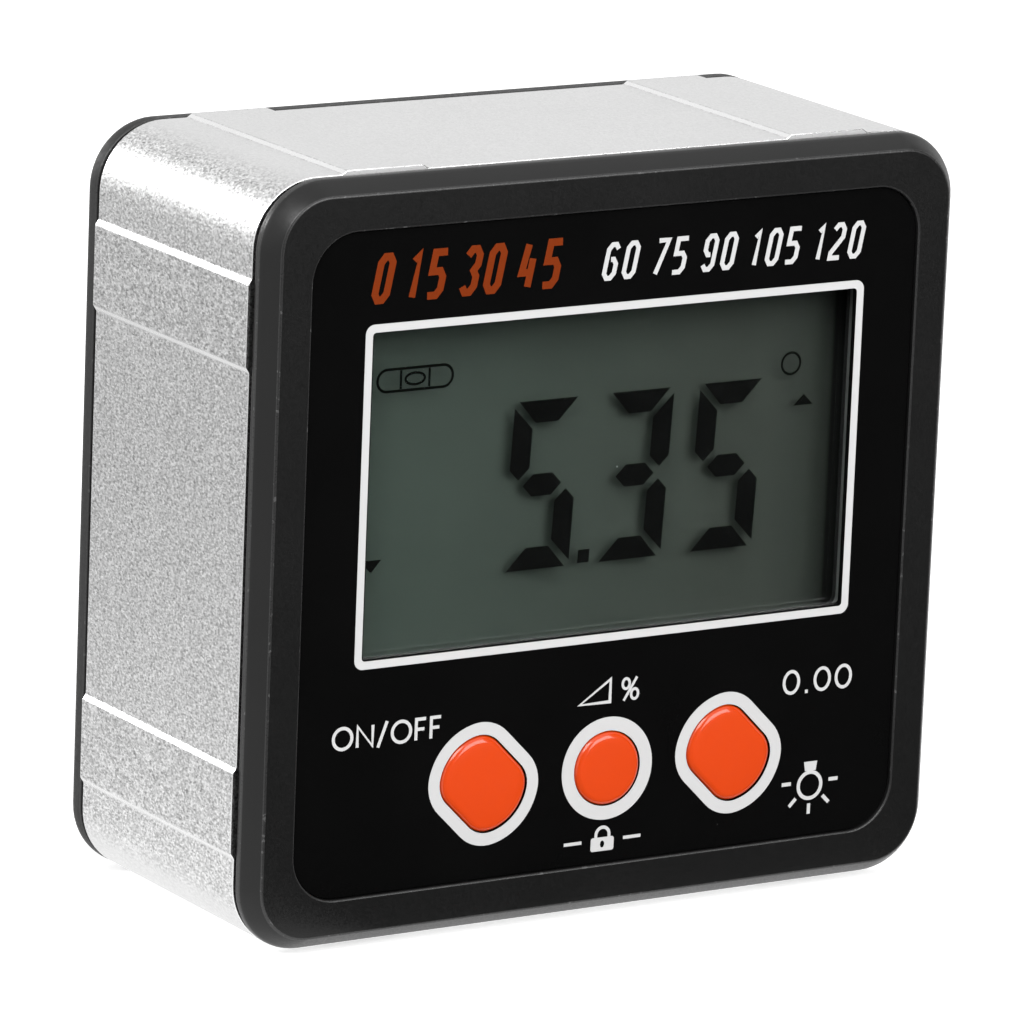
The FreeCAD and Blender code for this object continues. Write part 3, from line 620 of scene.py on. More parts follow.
def finished(piece: bpy.types.Object) -> bpy.types.Object:
    """Turn an object's evaluated form into a plain mesh.

    Args:
        piece: A mesh, curve or node object, with any modifiers.

    Returns:
        A mesh object at the origin under the same name. The first one is removed.
    """
    name = piece.name
    bpy.context.view_layer.update()
    evaluated = piece.evaluated_get(bpy.context.evaluated_depsgraph_get())
    mesh = bpy.data.meshes.new_from_object(evaluated)
    mesh.transform(piece.matrix_world)
    bpy.data.objects.remove(piece)
    mesh.name = name
    return link(name, mesh)


def joined(name: str, pieces: list[bpy.types.Object]) -> bpy.types.Object:
    """Join several mesh objects at the origin into one, and remove them."""
    form = bmesh.new()
    for piece in pieces:
        form.from_mesh(piece.data)
    mesh = bpy.data.meshes.new(name)
    form.to_mesh(mesh)
    form.free()
    for piece in pieces:
        bpy.data.objects.remove(piece)
    return link(name, mesh)


def settle(
    piece: bpy.types.Object, body: str, material: bpy.types.Material | None = None
) -> bpy.types.Object:
    """Give a piece its body and its material.

    Args:
        piece: The finished piece.
        body: The body that it rides on.
        material: Its one material, or nothing if it already has its materials.

    Returns:
        The same piece.
    """
    if material is not None:
        piece.data.materials.clear()
        piece.data.materials.append(material)
    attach(piece, body)
    log.info("built %s: %d faces", piece.name, len(piece.data.polygons))
    return piece


def dress(node: str, material: bpy.types.Material) -> None:
    """Give a carried-over node its material."""
    mesh = frame["nodes"][node].data
    mesh.materials.clear()
    mesh.materials.append(material)
    log.info("dressed %s", node)


def body_of(node: str) -> str:
    """Return the name of the body that a node belongs to."""
    bodies = frame["record"]["behaviour"]["bodies"]
    return next(body for body, members in bodies.items() if node in members)


def merged(node: str) -> bmesh.types.BMesh:
    """Return a node's mesh with its triangles joined and its flat faces made whole."""
    form = bmesh.new()
    form.from_mesh(frame["nodes"][node].data)
    bmesh.ops.remove_doubles(form, verts=form.verts, dist=0.0005 * MM)
    flat = math.radians(0.4)
    bmesh.ops.dissolve_limit(form, angle_limit=flat, verts=form.verts, edges=form.edges)
    return form


def soften(
    node: str, name: str, width: float, materials: list[bpy.types.Material], limit: float = 25.0
) -> bpy.types.Object:
    """Copy a node with its sharp edges rounded a little, as moulding and polishing leave them.

    Args:
        node: The node to copy, which the copy then stands for.
        name: The copy's name.
        width: Width of the rounding, in millimetres.
        materials: The surface's material and, if it differs, that of the rounded edges.
        limit: Edges that turn by more degrees than this are rounded.

    Returns:
        The softened piece.
    """
    form = merged(node)
    mesh = bpy.data.meshes.new(name)
    form.to_mesh(mesh)
    form.free()
    mesh.polygons.foreach_set("use_smooth", [True] * len(mesh.polygons))
    for material in materials:
        mesh.materials.append(material)
    piece = link(name, mesh)
    bevel = piece.modifiers.new("edge_rounding", "BEVEL")
    bevel.width = width * MM
    bevel.segments = 2
    bevel.limit_method = "ANGLE"
    bevel.angle_limit = math.radians(limit)
    bevel.use_clamp_overlap = False
    bevel.material = len(materials) - 1
    piece.modifiers.new("flat_face_normals", "WEIGHTED_NORMAL").keep_sharp = False
    piece = finished(piece)
    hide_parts(node)
    return settle(piece, body_of(node))


def arc(centre: Place, radius: float, start: float, end: float, steps: int) -> Outline:
    """Return points along an arc, from start to end degrees."""
    points = []
    for index in range(steps + 1):
        turn = math.radians(start + (end - start) * index / steps)
        points.append((centre[0] + radius * math.cos(turn), centre[1] + radius * math.sin(turn)))
    return points


def ellipse(centre: Place, half_x: float, half_z: float, steps: int = 40) -> Outline:
    """Return a closed ellipse."""
    turns = [2 * math.pi * index / steps for index in range(steps)]
    return [(centre[0] + half_x * math.cos(turn), centre[1] + half_z * math.sin(turn)) for turn in turns]


def rounded_box(centre: Place, width: float, height: float, radius: float, steps: int = 8) -> Outline:
    """Return a rectangle with rounded corners."""
    points = []
    for side_x, side_z, start in ((1, 1, 0), (-1, 1, 90), (-1, -1, 180), (1, -1, 270)):
        corner_x = centre[0] + side_x * (width / 2 - radius)
        corner_z = centre[1] + side_z * (height / 2 - radius)
        points += arc((corner_x, corner_z), radius, start, start + 90, steps)
    return points


def stroke(path: Outline, width: float, closed: bool = False) -> list[Outline]:
    """Return the outline of a line of one width, mitred at its turns.

    Args:
        path: The points of the line.
        width: The line's width.
        closed: Whether the line is a loop.

    Returns:
        One closed outline for an open line, and two for a loop.
    """
    sides: tuple[Outline, Outline] = ([], [])
    last = len(path) - 1
    for index, spot in enumerate(path):
        here = Vector(spot)
        before = (here - Vector(path[index - 1])).normalized() if closed or index > 0 else None
        following = Vector(path[(index + 1) % len(path)])
        after = (following - here).normalized() if closed or index < last else None
        before = before or after
        after = after or before
        middle = (before + after).normalized()
        across = Vector((-middle.y, middle.x))
        reach = width / 2 / max(MITRE_LIMIT, across.dot(Vector((-before.y, before.x))))
        sides[0].append(tuple(here + across * reach))
        sides[1].append(tuple(here - across * reach))
    if closed:
        return [sides[0], sides[1]]
    return [sides[0] + sides[1][::-1]]


def plate(name: str, outlines: list[Outline], face_y: float, thickness: float) -> bpy.types.Object:
    """Make a thin upright plate from outlines on the panel.

    Args:
        name: The piece's name.
        outlines: Closed outlines as x and height above the case's middle. One inside another is a hole.
        face_y: Where its front face lies.
        thickness: Its thickness behind that face.

    Returns:
        The plate as a mesh object.
    """
    curve = bpy.data.curves.new(name, "CURVE")
    curve.dimensions = "2D"
    curve.fill_mode = "BOTH"
    curve.extrude = thickness / 2 * MM
    for outline in outlines:
        spline = curve.splines.new("POLY")
        spline.points.add(len(outline) - 1)
        for point, (x, z) in zip(spline.points, outline):
            point.co = (x * MM, z * MM, 0.0, 1.0)
        spline.use_cyclic_u = True
    piece = bpy.data.objects.new(name, curve)
    bpy.context.scene.collection.objects.link(piece)
    upright = Matrix.Rotation(math.radians(90), 4, "X")
    middle = Vector((0.0, (face_y + thickness / 2) * MM, MIDDLE_Z * MM))
    piece.matrix_world = Matrix.Translation(middle) @ upright
    return finished(piece)


def plates(name: str, groups: list[list[Outline]], face_y: float, thickness: float) -> bpy.types.Object:
    """Make several plates as one piece. Each lies a hair proud of the one before, so none coincide.

    Args:
        name: The piece's name.
        groups: The outlines of each plate.
        face_y: Where the front faces lie.
        thickness: Their thickness.

    Returns:
        The plates as one mesh object.
    """
    made = []
    for index, outlines in enumerate(groups):
        made.append(plate(f"{name}_{index}", outlines, face_y - STAGGER * (index % 3), thickness))
    return joined(name, made)


def geometry_tree(name: str, inputs: dict[str, str]) -> tuple[Nodes, bpy.types.Node]:
    """Make a geometry node tree that takes seats, named sizes and a material.

    Args:
        name: The tree's name.
        inputs: Socket type by input name.

    Returns:
        The helper for its nodes and the tree's input node.
    """
    tree = bpy.data.node_groups.new(name, "GeometryNodeTree")
    tree.interface.new_socket("Seats", in_out="INPUT", socket_type="NodeSocketGeometry")
    for label, kind in inputs.items():
        tree.interface.new_socket(label, in_out="INPUT", socket_type=kind)
    tree.interface.new_socket("Material", in_out="INPUT", socket_type="NodeSocketMaterial")
    tree.interface.new_socket("Geometry", in_out="OUTPUT", socket_type="NodeSocketGeometry")
    nodes = Nodes(tree)
    return nodes, nodes.add("NodeGroupInput")


def close_tree(nodes: Nodes, geometry: bpy.types.NodeSocket, ends: bpy.types.Node) -> None:
    """End a geometry node tree in real geometry with its material."""
    real = nodes.add("GeometryNodeRealizeInstances", {"Geometry": geometry})
    inputs = {"Geometry": real.outputs[0], "Material": ends.outputs["Material"]}
    finish = nodes.add("GeometryNodeSetMaterial", inputs)
    nodes.add("NodeGroupOutput", {"Geometry": finish.outputs[0]})


def grown(name: str, nodes: Nodes, seats: list[Vector], values: dict[str, object]) -> bpy.types.Object:
    """Run a geometry node tree on a mesh of seats and keep the result as a plain mesh.

    Args:
        name: The piece's name.
        nodes: The helper of the finished tree.
        seats: The places that the tree works on, in metres.
        values: Input values by name.

    Returns:
        The result as a mesh object.
    """
    mesh = bpy.data.meshes.new(name)
    mesh.from_pydata([tuple(seat) for seat in seats], [], [])
    piece = link(name, mesh)
    modifier = piece.modifiers.new("growth", "NODES")
    modifier.node_group = nodes.tree
    sockets = {item.name: item for item in nodes.tree.interface.items_tree if item.in_out == "INPUT"}
    for label, value in values.items():
        modifier[sockets[label].identifier] = value
    return finished(piece)


def solid_boxes(node: str) -> list[tuple[Vector, Vector]]:
    """Return the lowest and highest corner of each separate solid of a node, in metres."""
    form = merged(node)
    left = set(form.verts)
    boxes = []
    while left:
        group = {left.pop()}
        edge_of_group = list(group)
        while edge_of_group:
            vert = edge_of_group.pop()
            for edge in vert.link_edges:
                other = edge.other_vert(vert)
                if other in left:
                    left.remove(other)
                    group.add(other)
                    edge_of_group.append(other)
        spots = [vert.co for vert in group]
        low = Vector([min(spot[axis] for spot in spots) for axis in range(3)])
        high = Vector([max(spot[axis] for spot in spots) for axis in range(3)])
        boxes.append((low, high))
    form.free()
    return sorted(boxes, key=lambda box: (round(box[0].z, 5), box[0].x))


@dataclass(frozen=True)
class PhotoCamera:
    """The camera at the photograph's place, fitted to the edges of the case."""

    focal_px: float = 7998.2
    image_px: float = 1024.0
    sensor: float = 36.0
    turn: float = -0.562033
    tilt: float = 0.238158
    roll: float = 0.040176
    offset: tuple[float, float, float] = (7.556, 2.184, 610.48)
    aim: tuple[float, float, float] = (0.0, -14.2, 30.0)

    def place(self) -> None:
        """Make the camera and set it as the scene's."""
        turn = Matrix.Rotation(self.turn, 3, "Y")
        tilt = Matrix.Rotation(self.tilt, 3, "X")
        roll = Matrix.Rotation(self.roll, 3, "Z")
        axes = Matrix(((1, 0, 0), (0, 0, -1), (0, 1, 0)))
        to_camera = roll @ tilt @ turn @ axes
        centre = Vector(self.aim) - to_camera.transposed() @ Vector(self.offset)
        facing = to_camera.transposed() @ Matrix(((1, 0, 0), (0, -1, 0), (0, 0, -1)))
        data = bpy.data.cameras.new("photo_camera")
        data.lens = self.focal_px * self.sensor / self.image_px
        data.sensor_width = self.sensor
        data.clip_start = 0.05
        data.clip_end = 20.0
        camera = bpy.data.objects.new("photo_camera", data)
        bpy.context.scene.collection.objects.link(camera)
        camera.matrix_world = Matrix.Translation(centre * MM) @ facing.to_4x4()
        bpy.context.scene.camera = camera


@dataclass(frozen=True)
class Lamp:
    """One soft rectangular light."""

    name: str
    spot: tuple[float, float, float]
    size: float
    power: float

    def place(self) -> None:
        """Make the lamp, aimed at the middle of the case."""
        data = bpy.data.lights.new(self.name, "AREA")
        data.shape = "SQUARE"
        data.size = self.size
        data.energy = self.power
        lamp = bpy.data.objects.new(self.name, data)
        bpy.context.scene.collection.objects.link(lamp)
        lamp.location = self.spot
        aim = Vector((0.0, 0.0, MIDDLE_Z * MM)) - Vector(self.spot)
        lamp.rotation_mode = "QUATERNION"
        lamp.rotation_quaternion = aim.to_track_quat("-Z", "Y")


@dataclass
class DarkCard:
    """A curved dark card before the object. Only reflections see it, so the gloss panel stays black."""

    start: float = -140.0
    end: float = -8.0
    steps: int = 24
    gap: float = 0.0155
    lift: float = 0.0005
    profile: tuple[Place, ...] = ((0.80, 0.0005), (0.90, 0.06), (0.95, 1.0))

    def build(self) -> None:
        """Sweep the card's profile about the object, from a straight near edge along the bezel's foot."""
        form = bmesh.new()
        rows = []
        for index in range(self.steps + 1):
            turn = math.radians(self.start + (self.end - self.start) * index / self.steps)
            section = ((self.gap / abs(math.sin(turn)), self.lift),) + self.profile
            rows.append([form.verts.new((out * math.cos(turn), out * math.sin(turn), height))
                         for out, height in section])
        for near, far in zip(rows, rows[1:]):
            for index in range(len(self.profile)):
                form.faces.new((near[index], near[index + 1], far[index + 1], far[index]))
        mesh = bpy.data.meshes.new("dark_card")
        form.to_mesh(mesh)
        form.free()
        material, _, shader = new_material("card_black", grey(0.003))
        shader.inputs["Roughness"].default_value = 1.0
        shader.inputs["Specular IOR Level"].default_value = 0.0
        mesh.materials.append(material)
        card = link("dark_card", mesh)
        card.visible_camera = False
        card.visible_diffuse = False
        card.visible_shadow = False


@dataclass
class Studio:
    """Floor, world, card and lamps."""

    floor_radius: float = 4.0
    floor_colour: Colour = grey(0.88)
    floor_glow: float = 0.6
    # Painted glow that reflections see on the floor, by distance from the object, and its peak strength.
    reflected_floor_glow_peak: float = 1.2
    reflected_floor_glow: tuple[Place, ...] = ((0.0, 1.0), (0.043, 1.0), (0.057, 0.86), (0.08, 0.79), (0.16, 0.55),
                                         (0.34, 0.70))
    world_level: float = 0.42
    lamps: list[Lamp] = field(
        default_factory=lambda: [
            Lamp("key_lamp", (0.22, -0.66, 0.32), 0.46, 3.2),
            Lamp("glint_lamp", (-0.32, -0.38, 0.52), 0.32, 2.2),
            Lamp("back_lamp", (-0.28, 0.61, 0.24), 0.20, 0.9),
            Lamp("edge_lamp", (-0.54, 0.31, 0.36), 0.10, 1.3),
        ]
    )

    def build(self) -> None:
        """Make the world, the floor, the card and the lamps."""
        bpy.context.scene.view_settings.view_transform = "Standard"
        self._world()
        self._floor()
        DarkCard().build()
        for lamp in self.lamps:
            lamp.place()

    def _world(self) -> None:
        """Light evenly, and show plain white to the camera, in reflections and through glass."""
        world = bpy.data.worlds.new("studio_world")
        bpy.context.scene.world = world
        world.use_nodes = True
        world.node_tree.nodes.clear()
        nodes = Nodes(world.node_tree)
        ray = nodes.add("ShaderNodeLightPath")
        seen = nodes.maths("MAXIMUM", ray.outputs["Is Camera Ray"], ray.outputs["Is Glossy Ray"])
        seen = nodes.maths("MAXIMUM", seen, ray.outputs["Is Transmission Ray"])
        lit = nodes.add("ShaderNodeBackground", {"Color": WHITE, "Strength": self.world_level})
        plain = nodes.add("ShaderNodeBackground", {"Color": WHITE, "Strength": 1.0})
        shaders = {0: seen, 1: lit.outputs[0], 2: plain.outputs[0]}
        mix = nodes.add("ShaderNodeMixShader", shaders)
        nodes.add("ShaderNodeOutputWorld", {"Surface": mix.outputs[0]})

    def _floor(self) -> None:
        """Make the pale floor, which the camera sees white but for the object's shadow, and which reflections
        see as a painted glow, brightest near the object and without the shadow.
        """
        mesh = bpy.data.meshes.new("floor")
        form = bmesh.new()
        bmesh.ops.create_circle(form, cap_ends=True, segments=64, radius=self.floor_radius)
        form.to_mesh(mesh)
        form.free()
        material, nodes, shader = new_material("floor_white", self.floor_colour)
        shader.inputs["Roughness"].default_value = 0.9
        shader.inputs["Specular IOR Level"].default_value = 0.1
        shader.inputs["Emission Color"].default_value = WHITE
        ray = nodes.add("ShaderNodeLightPath")
        glow = nodes.maths("MULTIPLY", ray.outputs["Is Camera Ray"], self.floor_glow)
        nodes.link(glow, shader.inputs["Emission Strength"])
        # Painted glow for reflections: brightness by distance from the object, without its shadow.
        away = nodes.add("ShaderNodeVectorMath", {0: nodes.place()}, operation="LENGTH").outputs["Value"]
        ramp = nodes.add("ShaderNodeValToRGB", {0: away})
        for index, (reach, level) in enumerate(self.reflected_floor_glow):
            stops = ramp.color_ramp.elements
            stop = stops[index] if index < 2 else stops.new(1.0)
            stop.position = reach
            stop.color = grey(level)
        mirrored = nodes.add("ShaderNodeEmission", {"Color": ramp.outputs[0], "Strength": self.reflected_floor_glow_peak})
        seen = nodes.maths("MAXIMUM", ray.outputs["Is Glossy Ray"], ray.outputs["Is Transmission Ray"])
        nodes.show_instead(seen, shader, mirrored)
        mesh.materials.append(material)
        link("floor", mesh)


@dataclass
class Housing:
    """The ribbed aluminium ring and the magnets in its base."""

    edge: float = 0.09
    outer_band: float = 3.0
    shoulder_lean: float = 0.832
    shoulder_spread: float = 0.03
    chamfer_tilt: tuple[float, float] = (0.3, 0.95)
    corner_x: float = 24.5
    corner_z: float = 23.5

    def build(self, materials: Materials) -> None:
        """Soften the ring, brighten the shoulders of its ribs and dress the magnets.

        Args:
            materials: The materials by name.
        """
        blasted = [materials["anodised_aluminium"]]
        ring = soften("housing_frame", "ribbed_housing", self.edge, blasted)
        ring.data.materials.append(materials["milled_aluminium"])
        self._brighten_shoulders(ring)
        magnet = [materials["magnet_nickel"]]
        soften("base_magnets", "base_magnet_discs", 0.15, magnet)

    def _brighten_shoulders(self, ring: bpy.types.Object) -> None:
        """Give the milled finish to the slopes beside the ribs and to the ring's end chamfers."""
        low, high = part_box("front_bezel")
        margin = self.outer_band * MM
        steep, flat = self.chamfer_tilt
        for face in ring.data.polygons:
            lean = max(abs(face.normal.x), abs(face.normal.z))
            slope = abs(face.normal.y) < 0.1 and abs(lean - self.shoulder_lean) < self.shoulder_spread
            chamfer = steep < abs(face.normal.y) < flat
            centre = face.center
            outside = min(centre.x - low.x, high.x - centre.x, centre.z - low.z, high.z - centre.z) < margin
            rise = abs(centre.z / MM - MIDDLE_Z)
            corner = abs(centre.x) > self.corner_x * MM and rise > self.corner_z
            if outside and (chamfer or (slope and not corner)):
                face.material_index = 1


@dataclass
class FrontMoulding:
    """The black bezel with its softened edges, and a paler wall at its display opening that is a painted
    highlight.
    """

    edge: float = 0.14

    def build(self, materials: Materials) -> None:
        """Soften the bezel, with a paler tone on its edges that is partly wear and partly a painted
        highlight.
        """
        finishes = [materials["black_case"], materials["black_case_edge"]]
        bezel = soften("front_bezel", "bezel_moulding", self.edge, finishes)
        bezel.data.materials.append(materials["opening_wall"])
        self._paint_opening_highlight(bezel)

    def _paint_opening_highlight(self, bezel: bpy.types.Object) -> None:
        """Paint a highlight on the opening's wall behind the window: a paler finish that shows as a lit strip
        at the display's right.
        """
        low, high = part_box("display_window")
        for face in bezel.data.polygons:
            centre = face.center
            within = low.x - self.edge * MM < centre.x < high.x and low.z < centre.z < high.z
            if within and centre.y > high.y - self.edge * MM and abs(face.normal.y) < 0.5:
                face.material_index = 2


@dataclass(frozen=True)
class Cap:
    """A crowned push button: its outline, rounded rim, flange and boss."""

    name: str
    shape: CapShape
    radius: float = 3.94
    flat: float = 3.15
    corner: float = 2.2
    facing: float = 45.0
    round_radius: float = 2.97
    rim: float = 0.6
    crown_radius: float = 42.0
    flange_width: float = 0.9
    flange_thickness: float = 0.8
    boss_radius: float = 1.5
    boss_height: float = 0.75
    ring: float = 1.02
    rim_steps: int = 5
    crown_steps: int = 6

    @property
    def node(self) -> str:
        """Return the name of the CAD node."""
        return f"{self.name}_button"

    def outline(self, grown_by: float) -> Outline:
        """Return the outline about the button's centre, larger by a distance on every side."""
        if self.shape is CapShape.ROUND:
            return arc((0.0, 0.0), self.round_radius + grown_by, 0, 360 - 360 / 72, 71)
        rise = self.flat - self.corner
        run = math.sqrt((self.radius - self.corner) ** 2 - rise**2)
        bend = math.degrees(math.atan2(run, rise))
        points: Outline = []
        for facing in (self.facing, self.facing + 180):
            turn = math.radians(facing)
            for along, start in ((-run, facing - bend), (run, facing)):
                x = rise * math.cos(turn) - along * math.sin(turn)
                z = rise * math.sin(turn) + along * math.cos(turn)
                points += arc((x, z), self.corner + grown_by, start, start + bend, 8)
            bow_start = facing + bend
            points += arc((0.0, 0.0), self.radius + grown_by, bow_start, facing + 180 - bend, 16)[1:-1]
        return points

    def placed_outline(self, grown_by: float) -> Outline:
        """Return the outline at the button's place on the panel."""
        x, z = centre_of(self.node)
        return [(x + dx, z + dz) for dx, dz in self.outline(grown_by)]

    def _rings(self) -> list[list[Vector]]:
        """Return the rings of points from the middle of the crown round to the boss, in millimetres."""
        low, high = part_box(self.node)
        front = low.y / MM
        back = high.y / MM
        flange_back = back - self.boss_height
        flange_front = flange_back - self.flange_thickness
        rings = []
        inner = self.outline(-self.rim)
        for index in range(1, self.crown_steps):
            share = index / self.crown_steps
            rings.append([self._on_crown(x * share, z * share, front, 0.0) for x, z in inner])
        for index in range(self.rim_steps + 1):
            turn = math.pi / 2 * index / self.rim_steps
            inset = self.rim * (1 - math.sin(turn))
            drop = self.rim * (1 - math.cos(turn))
            rings.append([self._on_crown(x, z, front, drop) for x, z in self.outline(-inset)])
        for grown_by, y in ((0.0, flange_front), (self.flange_width, flange_front),
                            (self.flange_width, flange_back)):
            rings.append([Vector((x, y, z)) for x, z in self.outline(grown_by)])
        for y in (flange_back, back):
            boss = [Vector((x, 0.0, z)).normalized() * self.boss_radius for x, z in self.outline(0.0)]
            rings.append([spot + Vector((0.0, y, 0.0)) for spot in boss])
        return rings

    def _on_crown(self, x: float, z: float, front: float, drop: float) -> Vector:
        """Return a point on the crown, lowered by a drop."""
        return Vector((x, front + drop + (x * x + z * z) / (2 * self.crown_radius), z))

    def build(self, materials: Materials) -> None:
        """Skin the rings, close both ends and let the piece stand for the CAD button."""
        low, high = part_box(self.node)
        centre = Vector(((low.x + high.x) / 2, 0.0, (low.z + high.z) / 2))
        form = bmesh.new()
        rings = self._rings()
        grid = [[form.verts.new(centre + spot * MM) for spot in ring] for ring in rings]
        front_pole = form.verts.new((centre.x, low.y, centre.z))
        back_pole = form.verts.new((centre.x, high.y, centre.z))
        count = len(grid[0])
        for index in range(count):
            following = (index + 1) % count
            form.faces.new((front_pole, grid[0][following], grid[0][index]))
            form.faces.new((back_pole, grid[-1][index], grid[-1][following]))
            for near, far in zip(grid, grid[1:]):
                form.faces.new((near[index], near[following], far[following], far[index]))
        bmesh.ops.recalc_face_normals(form, faces=form.faces)
        mesh = bpy.data.meshes.new(f"{self.name}_cap")
        form.to_mesh(mesh)
        form.free()
        mesh.polygons.foreach_set("use_smooth", [True] * len(mesh.polygons))
        mesh.set_sharp_from_angle(angle=math.radians(50))
        piece = link(f"{self.name}_cap", mesh)
        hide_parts(self.node)
        settle(piece, body_of(self.node), materials["button_orange"])


@dataclass(frozen=True)
class Glyph:
    """One sign: open lines, loops, and its width as a share of the lettering's."""

    lines: tuple[tuple[Place, ...], ...] = ()
    loops: tuple[tuple[Place, ...], ...] = ()
    width: float = 1.0


def octagonal_digits(side: float = 0.30, end: float = 0.14) -> dict[str, Glyph]:
    """Return plain digits with cut corners, in a unit box.

    Args:
        side: How far each cut runs along the width.
        end: How far each cut runs along the height.

    Returns:
        The digits by name.
    """
    left = side
    right = 1 - side
    low = end
    high = 1 - end
    crown = ((0, high), (left, 1), (right, 1), (1, high))
    six = ((1, high), (right, 1), (left, 1), (0, high), (0, low), (left, 0), (right, 0), (1, low),
           (1, 0.56 - low), (right, 0.56), (0.42, 0.56))
    return {
        "0": Glyph(loops=(((left, 0), (right, 0), (1, low), (1, high), (right, 1), (left, 1), (0, high),
                           (0, low)),)),
        "1": Glyph(lines=(((0.0, 0.84), (0.6, 1), (0.6, 0)),), width=0.6),
        "2": Glyph(lines=(crown + ((1, 0.62), (0, 0.16), (0, 0), (1, 0)),)),
        "3": Glyph(lines=(crown + ((1, 0.5 + low), (0.7, 0.5), (1, 0.5 - low), (1, low), (right, 0),
                                   (left, 0), (0, low)),)),
        "4": Glyph(lines=(((0.18, 1), (0, 0.34), (1, 0.34)), ((0.76, 0.66), (0.76, 0)))),
        "5": Glyph(lines=(((1, 1), (0, 1), (0, 0.56), (right, 0.56), (1, 0.56 - low), (1, low),
                           (right, 0), (0, 0)),)),
        "6": Glyph(lines=(six,)),
        "7": Glyph(lines=(((0, 1), (1, 1), (0.25, 0)),)),
        "9": Glyph(lines=(tuple((1 - x, 1 - z) for x, z in six),)),
    }


def plain_signs() -> dict[str, Glyph]:
    """Return the thin round signs of ON/OFF, the per cent sign and the zero reading."""
    ring = tuple(ellipse((0.5, 0.5), 0.5, 0.5, 36))
    upper = tuple(ellipse((0.22, 0.76), 0.22, 0.24, 24))
    lower = tuple(ellipse((0.78, 0.24), 0.22, 0.24, 24))
    return {
        "O": Glyph(loops=(ring,), width=1.12),
        "N": Glyph(lines=(((0, 0), (0, 1), (1, 0), (1, 1)),), width=0.92),
        "F": Glyph(lines=(((1, 1), (0, 1), (0, 0)), ((0.09, 0.52), (0.86, 0.52))), width=0.58),
        "/": Glyph(lines=(((0, -0.12), (1, 1.10)),), width=0.52),
        "0": Glyph(loops=(ring,), width=0.78),
        ".": Glyph(lines=(((0.5, -0.08), (0.5, 0.08)),), width=0.16),
        "%": Glyph(lines=(((0.1, -0.04), (0.9, 1.04)),), loops=(upper, lower), width=1.15),
    }


@dataclass(frozen=True)
class Lettering:
    """A stroke alphabet of one size."""

    glyphs: dict[str, Glyph]
    height: float
    width: float
    line: float
    space: float = 0.5
    slant: float = 0.0

    def _width(self, sign: str) -> float:
        """Return the room that one sign takes, without the gap after it."""
        return self.space if sign == " " else self.width * self.glyphs[sign].width + self.line

    def write(self, text: str, left: float, right: float, base: float) -> list[list[Outline]]:
        """Return the plates of a line of text, spread evenly between two ends.

        Args:
            text: The signs, with spaces.
            left: Where the first sign's left edge lies.
            right: Where the last sign's right edge lies.
            base: Where the signs stand.

        Returns:
            The outlines of each stroke.
        """
        widths = [self._width(sign) for sign in text]
        room = right - left - self.slant * self.height
        gap = (room - sum(widths)) / max(1, len(text) - 1)
        groups = []
        cursor = left
        for sign, width in zip(text, widths):
            glyph = self.glyphs.get(sign, Glyph())
            for points in glyph.lines:
                groups.append(stroke(self._laid(points, cursor, base, width - self.line), self.line))
            for points in glyph.loops:
                laid = self._laid(points, cursor, base, width - self.line)
                groups.append(stroke(laid, self.line, closed=True))
            cursor += width + gap
        return groups

    def _laid(self, points: tuple[Place, ...], cursor: float, base: float, width: float) -> Outline:
        """Return a glyph's unit points at their place on the panel."""
        laid = []
        for x, z in points:
            rise = self.line / 2 + z * (self.height - self.line)
            laid.append((cursor + self.line / 2 + x * width + self.slant * rise, base + rise))
        return laid


